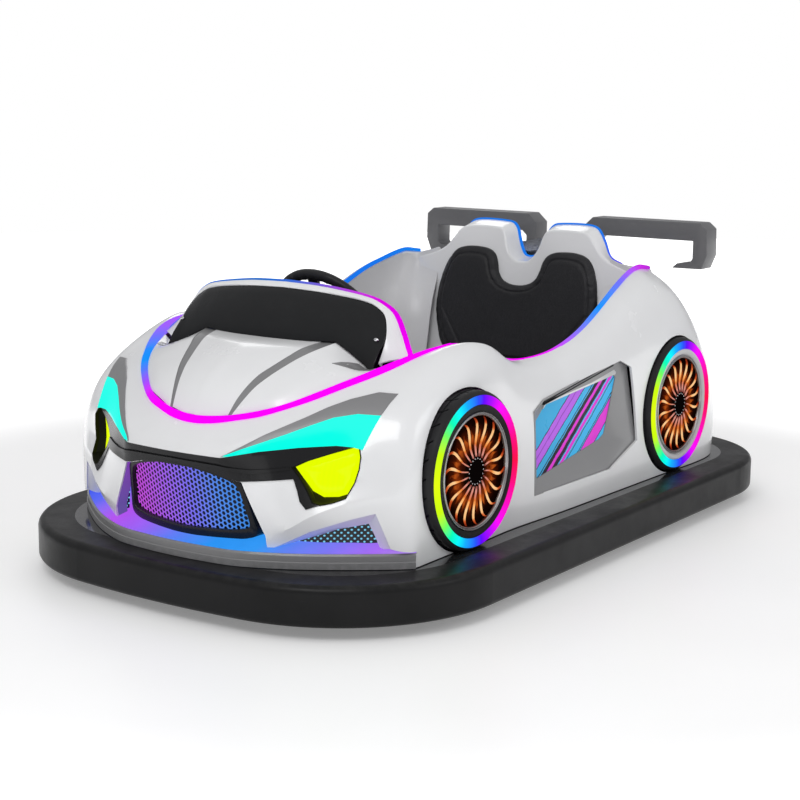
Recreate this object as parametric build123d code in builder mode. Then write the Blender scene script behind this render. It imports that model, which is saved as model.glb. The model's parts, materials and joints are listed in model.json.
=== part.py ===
"""Two-seat fairground bumper car with a racing-car body, built piece by piece.

Millimetres. The car's nose points to -Y, its left side to +X and up is +Z. The origin is on
the floor, below the centre of the rubber bumper.
"""

from build123d import *

import os
from math import cos, radians, sin, sqrt, tan

# ---- Driving dimensions -------------------------------------------------------------------
CAR_LENGTH = 2012
CAR_WIDTH = 1200
BUMPER_BOTTOM = 30
BUMPER_TOP = 120
BUMPER_THICKNESS = 80
BAND_THICKNESS = 5
FRAME_BOTTOM = 86
FRAME_TOP = 116
FRAME_TUBE = 30
RAIL_X = 250
DECK_TOP = 120
SKIN = 8

BODY_HALF_WIDTH = 492
BODY_NOSE_Y = -940
BODY_TAIL_Y = 884
CABIN_HALF_WIDTH = 404
CABIN_FRONT_Y = -500
PANEL_JOINTS_Y = (-300, 205)

SHOW_WHEEL_Z = 302
SHOW_TYRE_RADIUS = 180
SHOW_RIM_RADIUS = 152
SHOW_RING_RADIUS = 170.5
SHOW_WHEEL_INNER_X = 428
SHOW_WHEEL_FACE_X = 500
WHEEL_WELL_RADIUS = 192
SHOW_WHEEL_Y = {"front": -510, "rear": 484}
SIDES = {"left": 1, "right": -1}

HOOD_CENTRE_Y = -495
HOOD_RADIUS = 373
STRIP_WIDTH = 12

DRIVE_Y = -680
DRIVE_WHEEL_RADIUS = 100
DRIVE_WHEEL_WIDTH = 60
DRIVE_OPENING_RADIUS = 150
AXLE_RADIUS = 10
REAR_WHEEL_X = 345
REAR_WHEEL_Y = 560
REAR_WHEEL_RADIUS = 100
REAR_WHEEL_WIDTH = 50
RUNNING_CLEARANCE = 0.1

STEERING_CENTRE = (0, -382, 572)
STEERING_RISE = 30
STEERING_RIM_RADIUS = 135
STEERING_TUBE_RADIUS = 12
STEERING_ROD_RADIUS = 11

SCREEN_FOOT = (0, -624, 508)
SCREEN_SLOPE = 53.6
BACKREST_FOOT = (0, 424, 300)
BACKREST_RECLINE = 11
BACKREST_THICKNESS = 46
BACK_CUSHION_THICKNESS = 36
BENCH_FRONT_Y = 70
BENCH_TOP = 300
SEAT_TOP = 345

# ---- Side profiles as (y, z) points; an arc runs through every three of them ----------------
NOSE_EDGE = (BODY_NOSE_Y - 4, 350)
FENDER_LINE = [
    (-868, 407), (-720, 500), (-600, 565), (-500, 588), (-400, 566), (-300, 522), (-180, 494),
    (-70, 488), (50, 508), (150, 550), (250, 602), (350, 645), (450, 664), (550, 652),
    (640, 606), (730, 510), (800, 400), (856, 256), (BODY_TAIL_Y, 140),
]
HOOD_LINE = [(-900, 378), (-740, 482), (-480, 590)]

# ---- Outlines of the face and the seat, half of each, as (x, z) points ----------------------
MASK_OUTLINE = [
    (0, 346), (374, 352), (368, 328), (349, 300), (350, 268), (323, 255), (303, 251),
    (290, 263), (280, 293), (284, 318), (166, 302), (178, 251), (184, 178), (0, 163),
]
GRILLE_OUTLINE = [(-162, 298), (162, 298), (172, 251), (178, 184), (0, 168), (-178, 184), (-172, 251)]
LAMP_OUTLINE = [(296, 330), (364, 342), (360, 326), (342, 300), (342, 274), (306, 262), (290, 296)]
BROW_OUTLINE = [(215, 368), (372, 384), (398, 443), (330, 430), (262, 402)]
LOWER_GRILLE_OUTLINE = [(240, 160), (296, 186), (366, 218), (412, 234), (436, 226), (430, 160)]
DOOR_OUTLINE = [
    (-275, 392), (-240, 415), (157, 456), (211, 439), (238, 330), (258, 247), (139, 190), (-252, 195),
]
TAIL_LAMP_OUTLINE = [(150, 250), (330, 262), (345, 300), (165, 292)]
SCREEN_OUTLINE = [
    (0, 45), (150, 58), (189, 56), (299, 0), (312, 10), (298, 70), (278, 130), (262, 160),
    (240, 172), (120, 182), (0, 184),
]
BACKREST_OUTLINE = [
    (0, 0), (402, 0), (402, 330), (330, 352), (276, 368), (258, 392), (236, 424), (209, 446),
    (148, 458), (82, 451), (46, 398), (0, 357),
]
BACK_CUSHION_OUTLINE = [
    (0, 46), (396, 46), (396, 290), (330, 318), (262, 352), (231, 378), (150, 384), (92, 366),
    (48, 306), (0, 288),
]
WING_OUTLINE = [
    (85, 500), (85, 742), (109, 763), (423, 763), (441, 742), (441, 652), (427, 636), (350, 636),
    (350, 656), (412, 656), (418, 664), (418, 713), (126, 713), (112, 699), (112, 500),
]

os.makedirs("parts", exist_ok=True)


def keep(builder, name):
    """Labels a finished piece and writes it as its own STEP file."""
    builder.part.label = name
    export_step(builder.part, f"parts/{name}.step")


def slab(low, high, mode=Mode.ADD):
    """A block between two opposite corners."""
    with Locations(tuple((a + b) / 2 for a, b in zip(low, high))):
        Box(*(b - a for a, b in zip(low, high)), mode=mode)


def bar_x(y, z, radius, x_from, x_to, mode=Mode.ADD):
    """A round bar along X between two values of x."""
    with Locations(((x_from + x_to) / 2, y, z)):
        Cylinder(radius, abs(x_to - x_from), rotation=(0, 90, 0), mode=mode)


def bar_z(x, y, radius, z_from, z_to, mode=Mode.ADD):
    """A round bar along Z between two heights."""
    with Locations((x, y, (z_from + z_to) / 2)):
        Cylinder(radius, z_to - z_from, mode=mode)


def both_sides(outline):
    """A half outline that starts and ends on the middle line, closed with its mirror image."""
    return outline + [(-x, z) for x, z in reversed(outline) if x > 0]


def arcs_through(points):
    """Arcs through every three points in turn, each starting where the last one ended."""
    for start, middle, end in zip(points[0:-2:2], points[1:-1:2], points[2::2]):
        ThreePointArc(start, middle, end)


def bumper_plan(inset):
    """The bumper's plan outline: a bowed front, large corners and a straight tail."""
    half = CAR_WIDTH / 2 - inset
    front_radius, corner, rear_corner = 2300 - inset, 405 - inset, 324 - inset
    front_y, rear_y = -CAR_LENGTH / 2 + inset, CAR_LENGTH / 2 - inset
    corner_x = half - corner
    drop = sqrt((front_radius - corner) ** 2 - corner_x**2)
    centre_y = front_y + front_radius
    touch = (corner_x * front_radius / (front_radius - corner),
             centre_y - drop * front_radius / (front_radius - corner))
    corner_y = centre_y - drop
    bend = (corner_x + corner * sin(radians(50)), corner_y - corner * cos(radians(50)))
    with BuildLine() as line:
        ThreePointArc((-touch[0], touch[1]), (0, front_y), touch)
        ThreePointArc(touch, bend, (half, corner_y))
        Line((half, corner_y), (half, rear_y - rear_corner))
        RadiusArc((half, rear_y - rear_corner), (half - rear_corner, rear_y), -rear_corner)
        Line((half - rear_corner, rear_y), (0, rear_y))
        mirror(about=Plane.YZ)
    return line.line


def body_plan(inset):
    """The body's plan outline: a pointed nose, near straight sides and a rounded tail."""
    half = BODY_HALF_WIDTH - inset
    nose_y, tail_y = BODY_NOSE_Y + inset, BODY_TAIL_Y - inset
    with BuildLine() as line:
        ThreePointArc((0, nose_y), (160, nose_y + 20), (300 - inset / 2, nose_y + 82))
        ThreePointArc((300 - inset / 2, nose_y + 82), (432 - inset, nose_y + 196), (half, nose_y + 370))
        Line((half, nose_y + 370), (half, tail_y - 300))
        ThreePointArc((half, tail_y - 300), (half - 66, tail_y - 92), (half - 240, tail_y - 14))
        ThreePointArc((half - 240, tail_y - 14), (120, tail_y - 3), (0, tail_y))
        mirror(about=Plane.YZ)
    return line.line


def plan_band(outer, inner, bottom, top):
    """A closed band between two insets of the bumper's plan outline."""
    with BuildPart() as band:
        with BuildSketch(Plane.XY.offset(bottom)):
            with BuildLine():
                add(bumper_plan(outer))
            make_face()
            with BuildLine():
                add(bumper_plan(inner))
            make_face(mode=Mode.SUBTRACT)
        extrude(amount=top - bottom)
    return band


def body_block(inset, bottom=DECK_TOP):
    """The body's plan outline filled up to the fender line, all drawn in by the inset."""
    crest = [(y, z - inset) for y, z in FENDER_LINE]
    front = NOSE_EDGE[0] - 60
    back = BODY_TAIL_Y + 60
    with BuildPart() as block:
        with BuildSketch(Plane.XY.offset(bottom)):
            with BuildLine():
                add(body_plan(inset))
            make_face()
        extrude(amount=700)
        with BuildSketch(Plane.YZ):
            with BuildLine():
                Polyline((back, bottom), (front, bottom), (front, NOSE_EDGE[1] - inset - 40),
                         (NOSE_EDGE[0], NOSE_EDGE[1] - inset), crest[0])
                arcs_through(crest)
                Polyline(crest[-1], (back, crest[-1][1]), (back, bottom))
            make_face()
        extrude(amount=CAR_WIDTH / 2, both=True, mode=Mode.INTERSECT)
    return block


def hood_block(radius, top_gap, bottom_gap):
    """The round hood's area between two heights measured up from the hood line."""
    upper = [(y, z + top_gap) for y, z in HOOD_LINE]
    lower = [(y, z + bottom_gap) for y, z in HOOD_LINE]
    with BuildPart() as block:
        with BuildSketch(Plane.XY.offset(200)):
            with Locations((0, HOOD_CENTRE_Y)):
                Circle(radius)
            with Locations((0, CABIN_FRONT_Y + 500)):
                Rectangle(1200, 1000, mode=Mode.SUBTRACT)
        extrude(amount=800)
        with BuildSketch(Plane.YZ):
            with BuildLine():
                ThreePointArc(*upper)
                Line(upper[-1], lower[-1])
                ThreePointArc(*reversed(lower))
                Line(lower[0], upper[0])
            make_face()
        extrude(amount=CAR_WIDTH / 2, both=True, mode=Mode.INTERSECT)
    return block


def cabin_void(grow):
    """The open cabin, from the floor upward, with a leaning back."""
    front, half = CABIN_FRONT_Y - grow, CABIN_HALF_WIDTH + grow
    lean = tan(radians(BACKREST_RECLINE))
    back = BACKREST_FOOT[1] + BACKREST_THICKNESS + grow
    low, high = DECK_TOP - 20, 900
    with BuildPart() as void:
        with BuildSketch(Plane.YZ):
            with BuildLine():
                Polyline((front, low), (back + (low - BENCH_TOP) * lean, low),
                         (back + (high - BENCH_TOP) * lean, high), (front, high), close=True)
            make_face()
        extrude(amount=half, both=True)
    return void


def wheel_wells(grow):
    """The four pockets for the light-up wheels, open outwards and down to the deck."""
    with BuildPart() as wells:
        for y in SHOW_WHEEL_Y.values():
            for side in SIDES.values():
                with BuildSketch(Plane.YZ.offset(side * (SHOW_WHEEL_INNER_X - grow))):
                    with Locations((y, SHOW_WHEEL_Z)):
                        Circle(WHEEL_WELL_RADIUS + grow)
                    with Locations((y, DECK_TOP + 20)):
                        Rectangle(2 * (100 + grow), 80)
                extrude(amount=side * 160)
    return wells


def skin_layer(outer, inner):
    """The space between two insets of the body's surface, for trim let into it."""
    with BuildPart() as layer:
        add(body_block(outer).part)
        add(body_block(inner, DECK_TOP - 10).part, mode=Mode.SUBTRACT)
    return layer.part


def trim(layer, outline, plane, reach):
    """Trim cut out of a skin layer by an outline pushed along its plane's normal."""
    with BuildPart() as piece:
        add(layer)
        with BuildSketch(plane):
            with BuildLine():
                Polyline(*outline, close=True)
            make_face()
        extrude(amount=reach, mode=Mode.INTERSECT)
    return piece


def prism(plane, outline, amount, both=False):
    """A closed outline pushed along its plane's normal."""
    with BuildPart() as solid:
        with BuildSketch(plane):
            with BuildLine():
                Polyline(*outline, close=True)
            make_face()
        extrude(amount=amount, both=both)
    return solid


def turned(profile, centre, axis, radial):
    """A solid of revolution from (radius, distance along the axis) points."""
    with BuildPart() as solid:
        with BuildSketch(Plane(origin=centre, x_dir=radial, z_dir=Vector(*radial).cross(Vector(*axis)))):
            with BuildLine():
                Polyline(*profile, close=True)
            make_face()
        revolve(axis=Axis(centre, axis))
    return solid


# ---- Bumper, frame and deck -----------------------------------------------------------------
with BuildPart() as bumper_ring:
    add(plan_band(0, BUMPER_THICKNESS, BUMPER_BOTTOM, BUMPER_TOP).part)
    fillet(bumper_ring.faces().sort_by(Axis.Z)[-1].outer_wire().edges(), radius=18)
    fillet(bumper_ring.faces().sort_by(Axis.Z)[0].outer_wire().edges(), radius=12)
keep(bumper_ring, "bumper_ring")

band_inset = BUMPER_THICKNESS + BAND_THICKNESS
wheel_bay = REAR_WHEEL_X + REAR_WHEEL_WIDTH / 2 + 20
with BuildPart() as chassis_frame:
    with BuildSketch(Plane.XY.offset(FRAME_BOTTOM)):
        for y in (-415, 60, 440, 700):
            with Locations((0, y)):
                Rectangle(CAR_WIDTH, FRAME_TUBE)
        with Locations((-RAIL_X, 5), (RAIL_X, 5)):
            Rectangle(FRAME_TUBE, CAR_LENGTH)
        with Locations((-wheel_bay, 570), (wheel_bay, 570)):
            Rectangle(20, 260)
    extrude(amount=FRAME_TOP - FRAME_BOTTOM)
    with BuildSketch():
        with BuildLine():
            add(bumper_plan(band_inset))
        make_face()
    extrude(amount=200, mode=Mode.INTERSECT)
    bar_x(REAR_WHEEL_Y, REAR_WHEEL_RADIUS, AXLE_RADIUS + 0.2, -450, 450, Mode.SUBTRACT)
keep(chassis_frame, "chassis_frame")
keep(plan_band(BUMPER_THICKNESS, band_inset, BUMPER_BOTTOM + 16, DECK_TOP), "bumper_band")

with BuildPart() as floor_deck:
    with BuildSketch(Plane.XY.offset(FRAME_TOP)):
        with BuildLine():
            add(bumper_plan(band_inset))
        make_face()
        with Locations((0, DRIVE_Y)):
            Circle(DRIVE_OPENING_RADIUS, mode=Mode.SUBTRACT)
        with Locations((-REAR_WHEEL_X, REAR_WHEEL_Y), (REAR_WHEEL_X, REAR_WHEEL_Y)):
            Rectangle(REAR_WHEEL_WIDTH + 20, 2 * REAR_WHEEL_RADIUS + 30, mode=Mode.SUBTRACT)
    extrude(amount=DECK_TOP - FRAME_TOP)
keep(floor_deck, "floor_deck")

# ---- Body shells ----------------------------------------------------------------------------
front_plane, rear_plane = Plane.XZ.offset(600), Plane.XZ.offset(-600)


def across(outline, side):
    """An (x, z) outline on one side of the car; the outlines as listed are its left."""
    return [(SIDES[side] * x, z) for x, z in outline]


with BuildPart() as cavity:
    add(body_block(SKIN, DECK_TOP - 20).part)
    add(cabin_void(SKIN).part, mode=Mode.SUBTRACT)
    add(wheel_wells(SKIN).part, mode=Mode.SUBTRACT)
with BuildPart() as body:
    add(body_block(0).part)
    add(cavity.part, mode=Mode.SUBTRACT)
    add(cabin_void(0).part, mode=Mode.SUBTRACT)
    add(wheel_wells(0).part, mode=Mode.SUBTRACT)
    add(hood_block(HOOD_RADIUS + STRIP_WIDTH / 2, 400, -SKIN).part, mode=Mode.SUBTRACT)
face_layer, backing_layer, skirt_layer = skin_layer(0.5, 6), skin_layer(6, 14), skin_layer(-6, 0)
mask_cut = trim(skin_layer(-1, 14), both_sides(MASK_OUTLINE), front_plane, 500)
grille_cuts = {side: trim(skin_layer(-1, 6), across(LOWER_GRILLE_OUTLINE, side), front_plane, 500)
               for side in SIDES}
lamp_cuts = {side: trim(skin_layer(-6, 4), across(TAIL_LAMP_OUTLINE, side), rear_plane, -500)
             for side in SIDES}
door_cuts = {side: prism(Plane.YZ.offset(SIDES[side] * (BODY_HALF_WIDTH - 5)), DOOR_OUTLINE,
                         SIDES[side] * 40) for side in SIDES}

JOINT_SPANS = {"front_body": (-1200, PANEL_JOINTS_Y[0]), "side_body": PANEL_JOINTS_Y,
               "rear_body": (PANEL_JOINTS_Y[1], 1200)}
column_run = Plane(origin=STEERING_CENTRE, x_dir=(1, 0, 0),
                   z_dir=(0, -cos(radians(STEERING_RISE)), -sin(radians(STEERING_RISE))))
with BuildPart() as column_hole:
    with BuildSketch(column_run):
        Circle(STEERING_ROD_RADIUS + 9.5)
    extrude(amount=260)
for name, (y_from, y_to) in JOINT_SPANS.items():
    for side in (SIDES if name == "side_body" else ["whole"]):
        x_from, x_to = (-700, 700) if side == "whole" else sorted((0, SIDES[side] * 700))
        with BuildPart() as shell:
            add(body.part)
            slab((x_from, y_from, 0), (x_to, y_to, 900), mode=Mode.INTERSECT)
            if name == "front_body":
                add(mask_cut.part, mode=Mode.SUBTRACT)
                add(column_hole.part, mode=Mode.SUBTRACT)
                for cut in grille_cuts.values():
                    add(cut.part, mode=Mode.SUBTRACT)
            elif name == "side_body":
                add(door_cuts[side].part, mode=Mode.SUBTRACT)
            else:
                for cut in lamp_cuts.values():
                    add(cut.part, mode=Mode.SUBTRACT)
                for cut in door_cuts.values():
                    add(cut.part, mode=Mode.SUBTRACT)
        keep(shell, name if side == "whole" else f"side_body_{side}")

# ---- Face, lamps and side trim --------------------------------------------------------------
keep(trim(backing_layer, both_sides(MASK_OUTLINE), front_plane, 500), "front_mask")
keep(trim(face_layer, GRILLE_OUTLINE, front_plane, 500), "grille")
with BuildPart() as front_skirt:
    add(skirt_layer)
    slab((-462, -1000, DECK_TOP), (462, -690, 148), mode=Mode.INTERSECT)
keep(front_skirt, "front_skirt")
with BuildPart() as front_lip:
    add(skirt_layer)
    slab((-456, -1000, 148), (456, -700, 160), mode=Mode.INTERSECT)
keep(front_lip, "front_lip")

for side in SIDES:
    keep(trim(face_layer, across(LAMP_OUTLINE, side), front_plane, 500), f"headlamp_{side}")
    keep(trim(skin_layer(0.5, 5.5), across(LOWER_GRILLE_OUTLINE, side), front_plane, 500),
         f"lower_grille_{side}")
    keep(trim(skin_layer(-5, 4), across(TAIL_LAMP_OUTLINE, side), rear_plane, -500),
         f"tail_lamp_{side}")
    keep(prism(Plane.YZ.offset(SIDES[side] * (BODY_HALF_WIDTH - 5)), DOOR_OUTLINE,
               SIDES[side] * 4), f"door_panel_{side}")
    keep(trim(skin_layer(-3, 0), across(BROW_OUTLINE, side), front_plane, 500),
         f"brow_light_{side}")

# ---- Hood, windscreen and the light strips --------------------------------------------------
inner_radius, outer_radius = HOOD_RADIUS - STRIP_WIDTH / 2, HOOD_RADIUS + STRIP_WIDTH / 2
keep(hood_block(inner_radius, 0, -SKIN), "hood")
with BuildPart() as hood_light:
    add(hood_block(outer_radius, 4, -SKIN).part)
    add(hood_block(inner_radius, 10, -SKIN - 10).part, mode=Mode.SUBTRACT)
keep(hood_light, "hood_light")

slope = radians(SCREEN_SLOPE)
screen_plane = Plane(origin=SCREEN_FOOT, x_dir=(1, 0, 0), z_dir=(0, -sin(slope), cos(slope)))


def screen_prism(outline, low, high):
    """A plate in the windscreen's plane between two distances in front of it."""
    plane = screen_plane.offset(low)
    return prism(plane, both_sides(outline), high - low)


with BuildPart() as windscreen:
    add(screen_prism(SCREEN_OUTLINE, 4, 12).part)
    add(hood_block(outer_radius + 1, 4, -60).part, mode=Mode.SUBTRACT)
keep(windscreen, "windscreen")
frame_outline = [(0, 20), (345, -20), (345, 36), (322, 76), (296, 138), (278, 172), (252, 188),
                 (124, 197), (0, 199)]
light_outline = [(352, 20), (352, 38), (329, 80), (303, 142), (284, 178), (255, 194), (125, 203),
                 (0, 205)]
with BuildPart() as windscreen_frame:
    add(screen_prism(frame_outline, -30, 4).part)
    add(cavity.part, mode=Mode.SUBTRACT)
    add(body.part, mode=Mode.SUBTRACT)
    add(hood_block(outer_radius, 4, -SKIN).part, mode=Mode.SUBTRACT)
keep(windscreen_frame, "windscreen_frame")

with BuildPart() as windscreen_light:
    add(screen_prism(light_outline, -12, 4).part)
    add(screen_prism(frame_outline, -20, 10).part, mode=Mode.SUBTRACT)
    slab((-600, -1000, 0), (600, 0, 570), mode=Mode.SUBTRACT)
keep(windscreen_light, "windscreen_light")

RAIL_SPAN_Y = (CABIN_FRONT_Y + 30, 470)
for side, sign in SIDES.items():
    with BuildPart() as rail_light:
        add(body_block(-4).part)
        add(body_block(0, DECK_TOP - 10).part, mode=Mode.SUBTRACT)
        slab((sign * 410 - STRIP_WIDTH / 2, RAIL_SPAN_Y[0], 400),
             (sign * 410 + STRIP_WIDTH / 2, RAIL_SPAN_Y[1], 800), mode=Mode.INTERSECT)
    keep(rail_light, f"rail_light_{side}")

# ---- Seat -----------------------------------------------------------------------------------
BENCH_BOARD = 10
recline = radians(BACKREST_RECLINE)
back_plane = Plane(origin=BACKREST_FOOT, x_dir=(1, 0, 0), z_dir=(0, -cos(recline), sin(recline)))
rear_face = back_plane.offset(-BACKREST_THICKNESS + 1)
with BuildPart() as seat_backrest:
    add(prism(rear_face, both_sides(BACKREST_OUTLINE), BACKREST_THICKNESS - 1).part)
    with BuildSketch(rear_face.offset(SKIN)):
        with BuildLine():
            Polyline(*both_sides(BACKREST_OUTLINE), close=True)
        make_face()
        offset(amount=-SKIN, kind=Kind.INTERSECTION, mode=Mode.REPLACE)
        Rectangle(700, 2 * SKIN + 20)
    extrude(amount=BACKREST_THICKNESS - 1 - 2 * SKIN, mode=Mode.SUBTRACT)
keep(seat_backrest, "seat_backrest")
keep(prism(back_plane, both_sides(BACK_CUSHION_OUTLINE), BACK_CUSHION_THICKNESS), "back_cushion")
with BuildPart() as headrest_light:
    add(prism(back_plane.offset(-14), both_sides([(x, z + 6) for x, z in BACKREST_OUTLINE[3:]]),
              10).part)
    add(prism(back_plane.offset(-20), both_sides(BACKREST_OUTLINE), 30).part, mode=Mode.SUBTRACT)
    slab((-600, 0, 0), (600, 900, 645), mode=Mode.SUBTRACT)
keep(headrest_light, "headrest_light")

bench_back_y = BACKREST_FOOT[1] - 10
with BuildPart() as seat_bench:
    slab((-CABIN_HALF_WIDTH, BENCH_FRONT_Y, DECK_TOP), (CABIN_HALF_WIDTH, bench_back_y, BENCH_TOP))
    slab((-CABIN_HALF_WIDTH + BENCH_BOARD, BENCH_FRONT_Y + BENCH_BOARD, DECK_TOP - 10),
         (CABIN_HALF_WIDTH - BENCH_BOARD, bench_back_y - BENCH_BOARD, BENCH_TOP - BENCH_BOARD),
         mode=Mode.SUBTRACT)
keep(seat_bench, "seat_bench")
with BuildPart() as seat_cushion:
    slab((-396, BENCH_FRONT_Y + 4, BENCH_TOP), (396, 386, SEAT_TOP))
    fillet(seat_cushion.edges().filter_by(Axis.X).group_by(Axis.Z)[-1].sort_by(Axis.Y)[0], radius=16)
keep(seat_cushion, "seat_cushion")
with BuildPart() as battery_pack:
    slab((-240, 130, DECK_TOP), (240, 380, 265))
keep(battery_pack, "battery_pack")

# ---- Wing -----------------------------------------------------------------------------------
for side in SIDES:
    with BuildPart() as wing:
        add(prism(Plane.XZ.offset(-704), across(WING_OUTLINE, side), -64).part)
        add(body_block(0).part, mode=Mode.SUBTRACT)
    keep(wing, f"wing_{side}")

# ---- Light-up show wheels -------------------------------------------------------------------
inner_x, face_x = SHOW_WHEEL_INNER_X, SHOW_WHEEL_FACE_X
TYRE_PROFILE = [
    (SHOW_RIM_RADIUS, inner_x), (SHOW_TYRE_RADIUS - 6, inner_x), (SHOW_TYRE_RADIUS, inner_x + 8),
    (SHOW_TYRE_RADIUS, face_x - 8), (SHOW_TYRE_RADIUS - 6, face_x), (SHOW_RIM_RADIUS, face_x),
]
LIGHT_PROFILE = [
    (0, face_x - 20), (130, face_x - 20), (130, inner_x), (SHOW_RIM_RADIUS, inner_x),
    (SHOW_RIM_RADIUS, face_x),
    (SHOW_RING_RADIUS, face_x), (SHOW_RING_RADIUS, face_x + 8), (148, face_x + 8),
    (140, face_x - 4), (124, face_x - 8), (0, face_x - 8),
]
for end, wheel_y in SHOW_WHEEL_Y.items():
    for side, sign in SIDES.items():
        for name, profile in (("tyre", TYRE_PROFILE), ("wheel_light", LIGHT_PROFILE)):
            show_wheel = turned(profile, (0, wheel_y, SHOW_WHEEL_Z), (sign, 0, 0), (0, 0, 1))
            keep(show_wheel, f"{name}_{end}_{side}")

# ---- Running gear ---------------------------------------------------------------------------
with BuildPart() as rear_axle:
    bar_x(REAR_WHEEL_Y, REAR_WHEEL_RADIUS, AXLE_RADIUS, -402, 402)
keep(rear_axle, "rear_axle")


def road_wheel(radius, width, hub_half, centre):
    """A solid-tyred wheel on a plain bore, turned about X."""
    bore = AXLE_RADIUS + RUNNING_CLEARANCE
    half, web = width / 2, width / 2 - 12
    profile = [
        (bore, -hub_half), (24, -hub_half), (24, -web), (radius - 34, -web), (radius - 28, -half),
        (radius - 3, -half), (radius, -half + 4), (radius, half - 4), (radius - 3, half),
        (radius - 28, half), (radius - 34, web), (24, web), (24, hub_half), (bore, hub_half),
    ]
    return turned(profile, centre, (1, 0, 0), (0, 0, 1))


for side, sign in SIDES.items():
    wheel = road_wheel(REAR_WHEEL_RADIUS, REAR_WHEEL_WIDTH, REAR_WHEEL_WIDTH / 2 + 4,
                       (sign * REAR_WHEEL_X, REAR_WHEEL_Y, REAR_WHEEL_RADIUS))
    keep(wheel, f"rear_wheel_{side}")
keep(road_wheel(DRIVE_WHEEL_RADIUS, DRIVE_WHEEL_WIDTH, DRIVE_WHEEL_WIDTH / 2 + 4,
                (0, DRIVE_Y, DRIVE_WHEEL_RADIUS)), "drive_wheel")

# The fork turns in the drive mount's sleeve; its motor sits beside the wheel.
FORK_TOP = 226
KING_PIN_RADIUS = 16
MOUNT_CEILING = 232
GEARBOX_HEIGHT = STEERING_CENTRE[2] - (STEERING_CENTRE[1] - DRIVE_Y) * tan(radians(STEERING_RISE))
GEARBOX_HALF = 42
cheek_in = DRIVE_WHEEL_WIDTH / 2 + 8
with BuildPart() as drive_fork:
    bar_z(0, DRIVE_Y, 92, FORK_TOP - 10, FORK_TOP)
    for sign in (-1, 1):
        x_from, x_to = sorted((sign * cheek_in, sign * (cheek_in + 8)))
        slab((x_from, DRIVE_Y - 40, DRIVE_WHEEL_RADIUS - 26), (x_to, DRIVE_Y + 40, FORK_TOP - 5))
    bar_x(DRIVE_Y, DRIVE_WHEEL_RADIUS, AXLE_RADIUS, -cheek_in - 8, cheek_in + 8)
    bar_z(0, DRIVE_Y, KING_PIN_RADIUS, FORK_TOP - 5, GEARBOX_HEIGHT - 12)
keep(drive_fork, "drive_fork")
with BuildPart() as drive_motor:
    bar_x(DRIVE_Y, DRIVE_WHEEL_RADIUS + 6, 52, cheek_in + 8, cheek_in + 88)
keep(drive_motor, "drive_motor")

with BuildPart() as mount_housing:
    bar_z(0, DRIVE_Y, DRIVE_OPENING_RADIUS + 10, DECK_TOP, MOUNT_CEILING + 8)
    bar_z(0, DRIVE_Y, DRIVE_OPENING_RADIUS + 2, DECK_TOP - 1, MOUNT_CEILING, Mode.SUBTRACT)
    bar_z(0, DRIVE_Y, KING_PIN_RADIUS + 12, MOUNT_CEILING, GEARBOX_HEIGHT - 20)
    slab((-GEARBOX_HALF, DRIVE_Y - GEARBOX_HALF, GEARBOX_HEIGHT - 46),
         (GEARBOX_HALF, DRIVE_Y + GEARBOX_HALF, GEARBOX_HEIGHT + 40))
    bar_z(0, DRIVE_Y, KING_PIN_RADIUS + RUNNING_CLEARANCE, MOUNT_CEILING - 1, GEARBOX_HEIGHT - 10,
          Mode.SUBTRACT)

# ---- Steering wheel and column --------------------------------------------------------------
rise = radians(STEERING_RISE)
column_axis = (0, cos(rise), sin(rise))
column_up = (0, -sin(rise), cos(rise))
column_length = (STEERING_CENTRE[1] - DRIVE_Y) / cos(rise)


def on_column(distance):
    """A plane square to the column's axis; the driver's end of the column is positive."""
    return Plane(origin=STEERING_CENTRE, x_dir=(1, 0, 0), z_dir=column_axis).offset(distance)


with BuildPart() as steering_wheel:
    with BuildSketch(Plane(origin=STEERING_CENTRE, x_dir=(1, 0, 0), z_dir=column_up)):
        with Locations((STEERING_RIM_RADIUS, 0)):
            Circle(STEERING_TUBE_RADIUS)
    revolve(axis=Axis(STEERING_CENTRE, column_axis))
    with BuildSketch(on_column(-6)):
        for angle in (90, 192, 348):
            with Locations(Location((0, 0, 0), (0, 0, angle))):
                with Locations((STEERING_RIM_RADIUS / 2, 0)):
                    Rectangle(STEERING_RIM_RADIUS, 26)
        Circle(36)
    extrude(amount=10)
    with BuildSketch(on_column(-26)):
        Circle(26)
    extrude(amount=36)
keep(steering_wheel, "steering_wheel")

with BuildPart() as steering_rod:
    with BuildSketch(on_column(-column_length + 30)):
        Circle(STEERING_ROD_RADIUS)
    extrude(amount=column_length - 30 - 26)
keep(steering_rod, "steering_rod")
with BuildPart() as steering_tube:
    with BuildSketch(on_column(-column_length + 60)):
        Circle(STEERING_ROD_RADIUS + 9)
        Circle(STEERING_ROD_RADIUS + RUNNING_CLEARANCE, mode=Mode.SUBTRACT)
    extrude(amount=column_length - 60 - 34)
    add(mount_housing.part, mode=Mode.SUBTRACT)
keep(steering_tube, "steering_tube")

with BuildPart() as drive_mount:
    add(mount_housing.part)
    with BuildSketch(on_column(-column_length + 29.5)):
        Circle(STEERING_ROD_RADIUS + RUNNING_CLEARANCE)
    extrude(amount=120, mode=Mode.SUBTRACT)
keep(drive_mount, "drive_mount")

with BuildPart() as foot_pedal:
    with BuildSketch(Plane.YZ.offset(60)):
        with BuildLine():
            Polyline((-470, DECK_TOP), (-380, DECK_TOP), (-380, DECK_TOP + 10), (-456, DECK_TOP + 84),
                     (-470, DECK_TOP + 84), close=True)
        make_face()
    extrude(amount=100)
keep(foot_pedal, "foot_pedal")
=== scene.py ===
"""Dresses the two-seat bumper car: its moulded body, lamps, show wheels, seats and chassis.

Metres. The nose points to -Y, the left side to +X and up is +Z.
"""

import json
import logging
import math
import random
from contextlib import contextmanager
from dataclasses import dataclass, field
from enum import Enum
from typing import Callable, Iterable, Iterator, Sequence

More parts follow.
